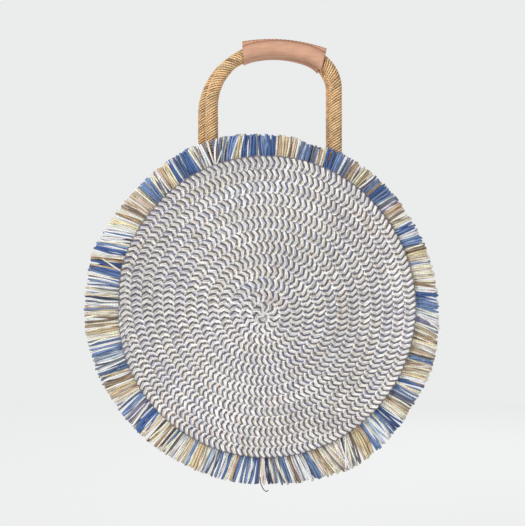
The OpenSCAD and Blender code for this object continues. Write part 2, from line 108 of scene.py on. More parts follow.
class FringeSizes(bpy.types.PropertyGroup):
    """The cut yarn ends round the discs."""

    length: millimetres("Length", "Length past the rim", 34)
    uneven: millimetres("Unevenness", "How much the cut lengths vary", 3)
    yarn: millimetres("Yarn radius", "Radius of one end", 1.25)
    pitch: millimetres("Pitch", "From one end to the next along the rim", 2.67)
    tips_x: millimetres("Tips, across", "The circle of tips, right of the disc's centre", -3.8)
    tips_z: millimetres("Tips, up", "The circle of tips, above the disc's centre", -2.8)


class HandleSizes(bpy.types.PropertyGroup):
    """The two rope handles."""

    rope: millimetres("Rope radius", "Radius over the twine", 8.3)
    twine: millimetres("Twine radius", "Radius of the twine", 1.3)
    starts: IntProperty(name="Starts", description="Twines laid side by side", default=8)
    top: millimetres("Top radius", "Radius of the arch's top", 130)
    front_left: millimetres("Front left radius", "Radius of the front handle's left shoulder", 72)
    front_right: millimetres("Front right radius", "Radius of the front handle's right shoulder", 46)
    back_left: millimetres("Back left radius", "Radius of the back handle's left shoulder", 80)
    back_right: millimetres("Back right radius", "Radius of the back handle's right shoulder", 47)
    back_shift: millimetres("Back shift", "How far left the back handle's top lies", 4)
    left_turn: degrees("Left turn", "Turn of the left shoulder", 80)
    right_turn: degrees("Right turn", "Turn of the right shoulder", 70)
    strap_width: millimetres("Strap width", "Width of a flattened rope end", 16)
    strap_thickness: millimetres("Strap thickness", "Thickness of a flattened rope end", 3)
    strap_length: millimetres("Strap length", "Length of a flattened end below the rim", 32)


class GripSizes(bpy.types.PropertyGroup):
    """The leather grips."""

    leather: millimetres("Leather", "Thickness of the leather", 1.8)
    front_left: millimetres("Front left end", "From the arch's middle to the front grip's left end", 42.5)
    back_left: millimetres("Back left end", "From the arch's middle to the back grip's left end", 38.5)
    right: millimetres("Right end", "From an arch's middle to its grip's right end", 60.8)
    left_slant: degrees("Left slant", "Slant of the left end", 3)
    right_slant: degrees("Right slant", "Slant of the right end", 14)
    edge: millimetres("Edge radius", "Radius of the flange's top edge", 220)
    edge_up: millimetres("Edge height", "Height of the edge above the grip's underside", 22.5)
    edge_left: millimetres("Edge shift", "How far left the edge's highest point lies", 8)
    stitch: millimetres("Stitch", "Length of a stitch", 3.2)


class LiningSizes(bpy.types.PropertyGroup):
    """The lining and what is sewn to it."""

    radius: millimetres("Radius", "Where the two halves are sewn together", 170)
    bulge: millimetres("Bulge", "How far a half swells out", 19)
    cloth: millimetres("Cloth", "Thickness of the cloth", 1.2)
    pocket_y: millimetres("Pocket depth", "From the middle plane to the pocket", 8)


class BagColours(bpy.types.PropertyGroup):
    """The colours a user would change."""

    jute: linear_colour("Jute", "Twine of the handles", (0.82, 0.535, 0.275))
    leather: linear_colour("Leather", "Leather of the grips", (0.67, 0.375, 0.245))


def sizes(group):
    """A group of the scene's sizes."""
    return getattr(bpy.context.scene, f"bag_{group}")


def linear(code):
    """A linear colour from an sRGB hex code."""
    parts = [int(code[i : i + 2], 16) / 255 for i in (1, 3, 5)]
    return [c / 12.92 if c <= 0.04045 else ((c + 0.055) / 1.055) ** 2.4 for c in parts]


WALL = linear("#EBECEC")
DYES = {name: linear(code) for name, code in {
    "royal": "#4969A4", "denim": "#728BB5", "navy": "#444B62", "slate": "#767C8B", "sky": "#BFCEE0",
    "white": "#FBF9F7", "cream": "#F8EDD6", "sand": "#DFCDB0", "tan": "#C2A888", "gold": "#E3CFA6",
    "rose": "#DCC1AE", "umber": "#857462", "lilac": "#8C89A6", "ink": "#33384E", "milk": "#F8F4EE",
    "mist": "#DAD6D7", "peach": "#E6D8D0", "lavender": "#CFCBDA", "straw": "#E4E0D2", "ash": "#7E7A7E",
    "dusk": "#777382", "stone": "#7F7873", "steel": "#747F96",
}.items()}
# How often a pale end follows a run in a stretch of fringe, and how often each dye comes up
MOODS = {
    "royal": (0.42, {"royal": 6, "denim": 3, "slate": 1, "navy": 1}),
    "denim": (0.62, {"denim": 5, "slate": 3, "sky": 1.5, "lilac": 1, "navy": 1}),
    "tan": (0.5, {"tan": 5, "umber": 3, "gold": 3, "sand": 3, "rose": 2, "cream": 2, "navy": 0.7,
                  "slate": 0.7}),
    "gold": (0.55, {"gold": 4, "tan": 4, "cream": 4, "umber": 2, "sand": 2, "rose": 1}),
    "dusk": (0.4, {"slate": 4, "lilac": 3, "navy": 2, "denim": 3, "umber": 1.5, "rose": 1, "cream": 1}),
    "lines": (0.95, {"denim": 5, "slate": 4, "navy": 1.5, "tan": 0.7}),
    "mixed": (0.4, {"rose": 2, "denim": 3, "sand": 3, "royal": 2, "navy": 1, "lilac": 1, "tan": 1}),
}
# Share of cream among the pale ends, in the warm stretches and in the others
WARM_SHARE, COOL_SHARE = 0.75, 0.4
# Most ends alike in a row, for the dyes where that isn't two
LONGEST = {"royal": 4, "denim": 4, "navy": 1, "umber": 1, "slate": 1}
# Stretches of the fringe, clockwise from the top as seen from the front: degrees and mood
STRETCHES = (
    (2, "royal"), (2, "lines"), (5, "gold"), (5, "denim"), (4, "dusk"), (3, "tan"), (5, "royal"),
    (5, "dusk"), (6, "gold"), (3, "dusk"), (2, "tan"), (4, "royal"), (4, "denim"), (3, "tan"), (5, "gold"),
    (5, "royal"), (4, "lines"), (4, "tan"), (2, "lines"), (2, "tan"), (2, "lines"), (6, "tan"),
    (7, "royal"), (3, "lines"), (2, "dusk"), (4, "gold"), (2, "dusk"), (5, "gold"), (3, "lines"),
    (9, "tan"), (3, "royal"), (4, "lines"), (5, "gold"), (4, "royal"), (6, "denim"), (6, "tan"),
    (5, "lines"), (11, "gold"), (4, "denim"), (4, "lines"), (3, "tan"), (9, "dusk"), (3, "royal"),
    (2, "lines"), (2, "denim"), (4, "gold"), (3, "royal"), (4, "denim"), (2, "mixed"), (4, "tan"),
    (2, "lines"), (3, "gold"), (6, "lines"), (5, "gold"), (2, "mixed"), (6, "royal"), (5, "dusk"),
    (5, "gold"), (6, "tan"), (10, "denim"), (2, "mixed"), (11, "gold"), (10, "lines"), (4, "royal"),
    (2, "gold"), (2, "royal"), (1, "gold"), (4, "royal"), (1, "tan"), (6, "lines"), (7, "gold"), (6, "tan"),
    (2, "dusk"), (3, "denim"), (4, "lines"), (3, "tan"), (4, "royal"), (2, "gold"), (6, "royal"),
    (4, "lines"), (6, "dusk"), (4, "tan"), (10, "royal"),
)
# How far the tips lean clockwise, at angles round the disc, both in degrees
LEANS = (
    (0, 0), (12, 0.5), (23, -1.2), (34, 0), (45, 2), (56, 1), (74, 1.2), (88, 2), (95, 3.5), (104, 0.5),
    (114, -2), (124, -1.4), (136, -0.2), (147, 2), (151, 1.5), (155, -1.6), (168, -2.8), (179, -1.6),
    (184, 1.6), (206, -0.4), (214, 1), (230, -1.3), (242, 0), (270, 0), (285, -0.5), (296, -2.4), (306, -1.4),
    (318, 0.8), (330, 0.4), (339.5, -1.2), (341.5, 3), (346, 4.5), (351, 2.2), (360, 0),
)
# How far the cut passes the circle of tips, at angles round the disc: degrees and millimetres
TRIMS = (
    (0, -4), (11, -4), (14, -9), (19, -9), (22, -4), (45, -3), (75, -2), (90, 0), (113, 4), (125, 2.5),
    (140, 7), (150, 8), (165, 2.5), (180, -1.5), (210, -2.5), (232, -1), (255, 2.5), (290, 5), (305, 0),
    (320, -2), (340, 0), (352, -3), (360, -4),
)
# Ends that stand out from the rest before the left leg: degrees, lean, dye and how much longer in millimetres
LEG_STRAYS = ((-22.4, -0.6, "white", 0), (-21.1, -1.2, "white", 0), (-19.4, 3.0, "white", -2),
              (-19.0, 6.5, "cream", -15), (-17.2, 4.4, "denim", -1), (-13.4, 5.2, "white", 0))
# Ends that stand out round the rim, in the same way
RIM_STRAYS = ((92, 4.5, "white", 1), (113, -3.2, "cream", 0), (148, 4.2, "white", 1), (156, -3.6, "white", 0),
              (176, -3, "cream", 0), (231, -2.4, "white", 1), (284, 2.6, "cream", 0), (289, -2.2, "cream", 0),
              (296, -4, "white", 1))
# Broad patches of painted light and shade on the plait, standing in for the light on a gently rippled disc:
# place right and up and reach both ways, in radii, and tone
PAINTED_LIGHT_PATCHES = ((-0.84, 0.25, 0.28, 0.5, -0.15), (0.88, -0.15, 0.24, 0.7, 0.13), (-0.32, -0.5, 0.5, 0.4, 0.1),
           (0.35, 0.65, 0.35, 0.35, 0.06), (0.5, -0.15, 0.3, 0.5, -0.04))
# The dark ends that show behind the front edge of the mouth: their middle and half width in degrees
DARK_AT, DARK_HALF = 16.3, 3.7
# Half the width of a tuft before a handle's leg
TUFT_HALF = 11 * MM
# Dyes that the three yarns of a strand run through, and how often the pace of that varies, in points. The
# white yarn and the dark slate yarn are partly the plait's own colours and partly a painted highlight and
# painted shade along each lobe
YARN_DYES_AND_PAINTED_SHADE = (
    (("white", "milk", "white", "white"), 50),
    (("mist", "white", "peach", "mist", "milk", "lavender", "mist", "straw"), 40),
    (("ash", "dusk", "stone", "ash", "steel", "ash", "stone", "dusk"), 40),
)
# A loose thread at the bottom: its radius over the circle of tips in millimetres, and its angle in degrees
LOOSE_THREAD = ((-8, 182), (-1, 181.8), (5, 181.2), (8.6, 180.6), (10.2, 180), (9.6, 179.5), (8.4, 179.3))


# Shapes of the discs, worked out for arrays of radii and angles from straight up


def wrapped(a):
    """Angles brought to between minus and plus half a turn."""
    return (a + math.pi) % (2 * math.pi) - math.pi


def gape_share(a):
    """Share of the mouth's gape at each angle."""
    t = np.abs(wrapped(a)) / sizes("plait").mouth
    return np.where(t < 1, np.cos(np.pi / 2 * np.minimum(t, 1) ** 2) ** 2, 0)


def disc_y(r, a):
    """Distance from the middle plane to a disc's inner face."""
    plait = sizes("plait")
    seam_r = plait.radius - plait.radius / plait.rows
    swell = np.maximum(0, 1 - (r / seam_r) ** 2) ** 1.2
    return plait.seam_gap + plait.bulge * swell + plait.gape * gape_share(a) * (r / plait.radius) ** 3


def yarn_y(r, a):
    """Distance from the middle plane to the layer of fringe."""
    plait = sizes("plait")
    return disc_y(np.minimum(r, plait.radius), a) - plait.seam_gap


def tips_at(a):
    """Distance from the disc's centre to the circle of fringe tips."""
    plait, fringe = sizes("plait"), sizes("fringe")
    along = fringe.tips_x * np.sin(a) + fringe.tips_z * np.cos(a)
    reach = plait.radius + fringe.length
    return along + np.sqrt(reach ** 2 - fringe.tips_x ** 2 - fringe.tips_z ** 2 + along ** 2)


def on_disc(r, a, y):
    """Points at radius r, angle a from straight up and depth y."""
    r, a, y = np.broadcast_arrays(r, a, y)
    return np.stack([CENTRE[0] + r * np.sin(a), y, CENTRE[2] + r * np.cos(a)], axis=-1)


# Lines, each an array of points


def smooth_step(t):
    """A share from 0 to 1 that starts and ends gently."""
    return t * t * (3 - 2 * t)


def squared_off(wave, power):
    """A wave with flatter tops, for the outline of a rounded box."""
    return np.sign(wave) * np.abs(wave) ** power


def distances(points):
    """Distance along a line at each of its points."""
    steps = np.linalg.norm(np.diff(points, axis=-2), axis=-1)
    return np.concatenate([0 * steps[..., :1], np.cumsum(steps, axis=-1)], axis=-1)


def sampled(at, run, rows):
    """Rows of values at some places along a run."""
    return np.stack([np.interp(at, run, column) for column in rows.T], axis=-1)


def unit(vectors):
    """Vectors brought to length 1."""
    return vectors / np.linalg.norm(vectors, axis=-1, keepdims=True)


def square_to(vectors, along):
    """What of some vectors is square to unit vectors, brought to length 1."""
    return unit(vectors - (vectors * along).sum(axis=-1, keepdims=True) * along)


# Making meshes


def deselect_all():
    """Leave nothing selected."""
    for thing in bpy.context.selected_objects:
        thing.select_set(False)


def only(thing):
    """Select one object and make it the active one."""
    deselect_all()
    thing.select_set(True)
    bpy.context.view_layer.objects.active = thing


def new_piece(name, points, quads, dyes=None, uv=None):
    """A smooth mesh object from arrays of points and quads, with an optional colour for each point and an
    optional UV for each corner."""
    mesh = bpy.data.meshes.new(name)
    points = np.asarray(points, np.float32).reshape(-1, 3)
    quads = np.asarray(quads, np.int32).reshape(-1, 4)
    mesh.vertices.add(len(points))
    mesh.vertices.foreach_set("co", points.ravel())
    mesh.loops.add(quads.size)
    mesh.loops.foreach_set("vertex_index", quads.ravel())
    mesh.polygons.add(len(quads))
    mesh.polygons.foreach_set("loop_start", np.arange(len(quads), dtype=np.int32) * 4)
    mesh.update(calc_edges=True)
    mesh.polygons.foreach_set("use_smooth", np.ones(len(quads), bool))
    if dyes is not None:
        colour = np.ones((len(points), 4), np.float32)
        colour[:, :3] = np.asarray(dyes).reshape(-1, 3)
        mesh.color_attributes.new("dye", "FLOAT_COLOR", "POINT").data.foreach_set("color", colour.ravel())
    if uv is not None:
        layer = mesh.uv_layers.new(name="along")
        layer.data.foreach_set("uv", np.asarray(uv, np.float32).ravel())
    mesh.validate()
    thing = bpy.data.objects.new(name, mesh)
    bpy.context.scene.collection.objects.link(thing)
    return thing


def grid_quads(rows, columns, closed):
    """Quads between the points of a grid, whose columns may close to a ring."""
    i = np.arange(rows - 1)[:, None] * columns
    j = np.arange(columns if closed else columns - 1)
    k = (j + 1) % columns
    return np.stack([i + j, i + k, i + columns + k, i + columns + j], axis=-1).reshape(-1, 4)


def bar_quads(rings, sides):
    """Quads round a bar of rings, closed at both ends."""
    cap = np.array([[0, q + 3, q + 2, q + 1] for q in range(0, sides - 2, 2)])
    return np.concatenate([grid_quads(rings, sides, True), cap, (rings - 1) * sides + cap[:, ::-1]])


def tubes(name, paths, radii, facing, dyes, sides=6):
    """Closed round tubes along paths, an array of tube, point and place. Radii and dyes are one for all or
    one for each point, and facing is the way that a tube's outer side looks."""
    count, length, _ = paths.shape
    along = unit(np.gradient(paths, axis=1))
    out = square_to(facing, along)
    across = np.cross(along, out)
    turn = np.arange(sides)[:, None] / sides * 2 * np.pi
    ring = np.cos(turn) * across[:, :, None] + np.sin(turn) * out[:, :, None]
    points = paths[:, :, None] + np.broadcast_to(radii, (count, length))[:, :, None, None] * ring
    bar = bar_quads(length, sides)
    quads = np.arange(count)[:, None, None] * length * sides + bar
    walls = (length - 1) * sides
    uv = np.zeros((count, len(bar), 4, 2))
    uv[:, :walls, :, 0] = (np.tile(np.arange(sides), length - 1)[:, None] + [0, 1, 1, 0]) / sides
    uv[:, :walls, :, 1] = distances(paths)[:, bar[:walls] // sides]
    dyes = np.broadcast_to(dyes, (count, length, 3))
    return new_piece(name, points, quads, np.broadcast_to(dyes[:, :, None], points.shape), uv)


def mend(thing, merge=False):
    """Turn a mesh's faces outwards, and where merge is set first join the points that lie together."""
    only(thing)
    bpy.ops.object.mode_set(mode="EDIT")
    bpy.ops.mesh.select_all(action="SELECT")
    if merge:
        bpy.ops.mesh.remove_doubles(threshold=0.01 * MM)
    bpy.ops.mesh.normals_make_consistent(inside=False)
    bpy.ops.object.mode_set(mode="OBJECT")


def closed_bar(name, rings):
    """A bar through rings of points, closed at both ends."""
    thing = new_piece(name, rings, bar_quads(*rings.shape[:2]))
    mend(thing)
    return thing


def skin(name, grid, thickness, closed=False, dyes=None):
    """A sheet whose middle runs through a grid of points."""
    thing = new_piece(name, grid, grid_quads(*grid.shape[:2], closed), dyes)
    mend(thing, merge=True)
    add_modifier(thing, "SOLIDIFY", thickness=thickness, offset=0, use_even_offset=True)
    return thing


def add_modifier(thing, kind, **settings):
    """Add a modifier with its settings and apply it."""
    only(thing)
    bpy.ops.object.modifier_add(type=kind)
    modifier = thing.modifiers[-1]
    for key, value in settings.items():
        setattr(modifier, key, value)
    bpy.ops.object.modifier_apply(modifier=modifier.name)


def finish_piece(thing, body, material, slot, *nodes):
    """Give a piece its material and body, and hide the solids that it stands for; the slot is not used."""
    thing.data.materials.clear()
    thing.data.materials.append(material)
    if body:
        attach(thing, body)
    if nodes:
        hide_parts(*nodes)


# Materials


HALF_WAVE = 0.157  # scale of a wave texture whose half waves are a metre long


def node(tree, kind, inputs=None, **settings):
    """Add a node with its settings, and set or link its inputs."""
    made = tree.nodes.new(kind)
    for key, value in settings.items():
        setattr(made, key, value)
    for key, value in (inputs or {}).items():
        if isinstance(value, bpy.types.NodeSocket):
            tree.links.new(value, made.inputs[key])
        else:
            made.inputs[key].default_value = value
    return made


def maths(tree, operation, *values):
    """The result of a Math node."""
    return node(tree, "ShaderNodeMath", dict(enumerate(values)), operation=operation).outputs[0]


def between(tree, value, low, high, first=0.0, last=1.0):
    """A value brought from between first and last to between low and high."""
    ends = {"From Min": first, "From Max": last, "To Min": low, "To Max": high}
    return node(tree, "ShaderNodeMapRange", {"Value": value, **ends}).outputs[0]


def noise(tree, where, size, detail):
    """Noise with clouds of about the given size."""
    inputs = {"Vector": where, "Scale": 1 / size, "Detail": detail}
    return node(tree, "ShaderNodeTexNoise", inputs).outputs[0]


def lit(tree, base, light):
    """A colour made lighter or darker."""
    return node(tree, "ShaderNodeVectorMath", {0: base, "Scale": light}, operation="SCALE").outputs[0]


def mesh_dye(tree):
    """The colour that is stored on the mesh."""
    return node(tree, "ShaderNodeAttribute", attribute_name="dye").outputs["Color"]


def object_place(tree):
    """The place on the object, in metres."""
    return node(tree, "ShaderNodeTexCoord").outputs["Object"]


def relief(tree, height, strength, depth):
    """The normal of a surface with a fine relief."""
    inputs = {"Height": height, "Strength": strength, "Distance": depth}
    return node(tree, "ShaderNodeBump", inputs).outputs[0]


def new_material(name):
    """A material and its emptied tree."""
    material = bpy.data.materials.new(name)
    material.use_nodes = True
    material.node_tree.nodes.clear()
    return material, material.node_tree


def surface(tree, inputs):
    """The shader of a material, linked to its output."""
    shader = node(tree, "ShaderNodeBsdfPrincipled", inputs)
    node(tree, "ShaderNodeOutputMaterial", {"Surface": shader.outputs[0]})


def yarn(name, twist, ply_depth, fuzz, groove_shade, roughness=0.9):
    """Cotton yarn or jute twine: two plies twisted together, with a fine fuzz. Twist is the length of a turn.
    The dye is on the mesh, and the sides that face the neighbouring yarns get painted shade."""
    material, tree = new_material(name)
    uv = node(tree, "ShaderNodeUVMap", uv_map="along").outputs[0]
    around, along, _ = node(tree, "ShaderNodeSeparateXYZ", {0: uv}).outputs
    turns = maths(tree, "MULTIPLY", along, 1 / twist)
    phase = maths(tree, "MULTIPLY_ADD", around, 2.0, turns)
    ply = maths(tree, "SINE", maths(tree, "MULTIPLY", phase, 2 * math.pi))
    fibre = noise(tree, object_place(tree), 1.1 * MM, 2.0)
    plied = maths(tree, "MULTIPLY_ADD", ply, ply_depth, 1.0)
    grain = between(tree, fibre, 1 - fuzz, 1 + fuzz, 0.25, 0.75)
    # Painted shade: each tube darkens towards its sides, where it meets the neighbouring yarns, standing in
    # for the shade between them
    outward = maths(tree, "ABSOLUTE", maths(tree, "SINE", maths(tree, "MULTIPLY", around, 2 * math.pi)))
    deep = between(tree, outward, 1 - groove_shade, 1.0, -0.2, 0.75)
    light = maths(tree, "MULTIPLY", maths(tree, "MULTIPLY", plied, grain), deep)
    height = maths(tree, "ADD", ply, fibre)
    surface(tree, {"Base Color": lit(tree, mesh_dye(tree), light), "Roughness": roughness,
                   "Sheen Weight": 0.25, "Sheen Roughness": 0.5,
                   "Normal": relief(tree, height, 0.5, 0.15 * MM)})
    return material


def plain_weave(name, base, thread):
    """Woven cotton cloth: threads over and under in both directions, and a slight slub."""
    material, tree = new_material(name)
    where = object_place(tree)
    inputs = {"Vector": where, "Scale": HALF_WAVE / thread}
    waves = [node(tree, "ShaderNodeTexWave", inputs, bands_direction=axis) for axis in ("X", "Z")]
    weave = maths(tree, "MULTIPLY", waves[0].outputs[1], waves[1].outputs[1])
    slub = between(tree, noise(tree, where, 14 * MM, 5.0), 0.88, 1.06, 0.3, 0.7)
    light = maths(tree, "MULTIPLY", slub, between(tree, weave, 0.86, 1.04))
    surface(tree, {"Base Color": lit(tree, base, light), "Roughness": 0.95, "Sheen Weight": 0.15,
                   "Normal": relief(tree, weave, 0.6, 0.2 * MM)})
    return material


def smooth_leather(name, base):
    """Vegetable-tanned leather, rolled smooth: a pore grain, soft stretch marks and a dull polish. The tone
    on the mesh darkens its cut edges, and paints shade into the crease along the seam."""
    material, tree = new_material(name)
    where = object_place(tree)
    pores = node(tree, "ShaderNodeTexVoronoi", {"Vector": where, "Scale": 1 / (0.9 * MM)}).outputs[0]
    drawn = node(tree, "ShaderNodeMapping", {"Vector": where, "Scale": (0.16, 1.0, 1.0)}).outputs[0]
    marks = noise(tree, drawn, 3.5 * MM, 4.0)
    clouds = noise(tree, where, 22 * MM, 3.0)
    light = maths(tree, "MULTIPLY", between(tree, marks, 0.88, 1.08, 0.3, 0.7),
                  between(tree, clouds, 0.92, 1.06, 0.3, 0.7))
    # The tone on the mesh: darker cut edges, and painted shade in the flange's crease
    inputs = {0: lit(tree, base, light), 1: mesh_dye(tree)}
    burnished_edges_and_crease_shade = node(tree, "ShaderNodeVectorMath", inputs, operation="MULTIPLY").outputs[0]
    height = maths(tree, "ADD", pores, marks)
    surface(tree, {"Base Color": burnished_edges_and_crease_shade, "Roughness": between(tree, marks, 0.42, 0.62),
                   "Specular IOR Level": 0.4, "Coat Weight": 0.05,
                   "Normal": relief(tree, height, 0.25, 0.15 * MM)})
    return material


def worn_metal(name, base, roughness, grit):
    """Plated or brushed metal with fine wear."""
    material, tree = new_material(name)
    wear = noise(tree, object_place(tree), grit, 6.0)
    surface(tree, {"Base Color": lit(tree, base, between(tree, wear, 0.85, 1.08)), "Metallic": 1.0,
                   "Roughness": between(tree, wear, roughness * 0.7, roughness * 1.4)})
    return material


# Stage


class BAG_OT_stage(bpy.types.Operator):
    """Add the floor, the lamps, the world and the camera"""

    bl_idname = "bag.stage"
    bl_label = "Stage and camera"

    distance: millimetres("Distance", "Camera to bag", 1500)
    per_pixel: millimetres("Per pixel", "Width of a pixel at the bag", 1.275)
    eye_x: millimetres("Eye, across", "Where the camera stands along X", -17.9)
    eye_z: millimetres("Eye, up", "Height of the camera", -260.7)
    floor_z: millimetres("Floor", "Height of the floor", -720)

    def camera(self):
        """The camera, as wide as the photo at the bag's distance."""
        data = bpy.data.cameras.new("camera")
        half = PICTURE * self.per_pixel / 2
        data.lens = data.sensor_width / 2 * self.distance / half
        thing = bpy.data.objects.new("camera", data)
        bpy.context.scene.collection.objects.link(thing)
        thing.location = (self.eye_x, -self.distance, self.eye_z)
        thing.rotation_euler = (math.pi / 2, 0, 0)
        bpy.context.scene.camera = thing

    def lamp(self, name, place, size, power):
        """A round lamp that points at the disc's centre."""
        data = bpy.data.lights.new(name, "AREA")
        data.shape = "DISK"
        data.size = size
        data.energy = power
        thing = bpy.data.objects.new(name, data)
        bpy.context.scene.collection.objects.link(thing)
        thing.location = place
        aim = Vector(CENTRE) - Vector(place)
        thing.rotation_euler = aim.to_track_quat("-Z", "Y").to_euler()

    def world(self):
        """Even light, with a pale wall where the camera sees it or it is mirrored or seen through."""
        world = bpy.data.worlds.new("studio")
        bpy.context.scene.world = world
        world.use_nodes = True
        tree = world.node_tree
        tree.nodes.clear()
        ray = node(tree, "ShaderNodeLightPath").outputs
        seen = maths(tree, "MAXIMUM", ray["Is Camera Ray"], ray["Is Glossy Ray"])
        seen = maths(tree, "MAXIMUM", seen, ray["Is Transmission Ray"])
        light = node(tree, "ShaderNodeBackground", {"Color": (1, 1, 1, 1), "Strength": 0.38})
        shown = node(tree, "ShaderNodeBackground", {"Color": (*WALL, 1), "Strength": 1.0})
        mixed = node(tree, "ShaderNodeMixShader", {0: seen, 1: light.outputs[0], 2: shown.outputs[0]})
        node(tree, "ShaderNodeOutputWorld", {"Surface": mixed.outputs[0]})

    def floor(self):
        """A round floor of matt paper, mostly as pale as the wall where the camera sees it."""
        deselect_all()
        place = (0, 0, self.floor_z)
        bpy.ops.mesh.primitive_circle_add(vertices=96, radius=2.5, fill_type="NGON", location=place)
        thing = bpy.context.object
        thing.name = "floor"
        material, tree = new_material("matt paper floor")
        inputs = {"Base Color": (*linear("#EFEFEF"), 1), "Roughness": 0.9}
        paper = node(tree, "ShaderNodeBsdfPrincipled", inputs)
        ray = node(tree, "ShaderNodeLightPath").outputs
        share = maths(tree, "MULTIPLY", ray["Is Camera Ray"], 0.9)
        glow = node(tree, "ShaderNodeEmission", {"Color": (*WALL, 1), "Strength": 1.045})
        mixed = node(tree, "ShaderNodeMixShader", {0: share, 1: paper.outputs[0], 2: glow.outputs[0]})
        node(tree, "ShaderNodeOutputMaterial", {"Surface": mixed.outputs[0]})
        thing.data.materials.append(material)

    def execute(self, context):
        context.scene.view_settings.view_transform = "Standard"
        self.camera()
        self.lamp("key", (-1.2, -1.4, 0.75), size=0.6, power=24)
        self.lamp("fill", (1.3, -1.3, 0.0), size=1.4, power=5.5)
        self.lamp("back", (0.6, 1.6, 0.6), size=1.2, power=19)
        self.world()
        self.floor()
        return {"FINISHED"}


# Woven discs


def smooth_noise(rng, count, every):
    """A smooth run of values near zero, with a new value every so many steps."""
    knots = rng.normal(size=count // every + 3)
    at = np.arange(count) / every
    low = at.astype(int)
    t = smooth_step(at - low)
    return knots[low] * (1 - t) + knots[low + 1] * t


def last_turn():
    """Turns from a disc's centre to the plait's end, which lies half a row inside the rim."""
    return sizes("plait").rows - 0.5


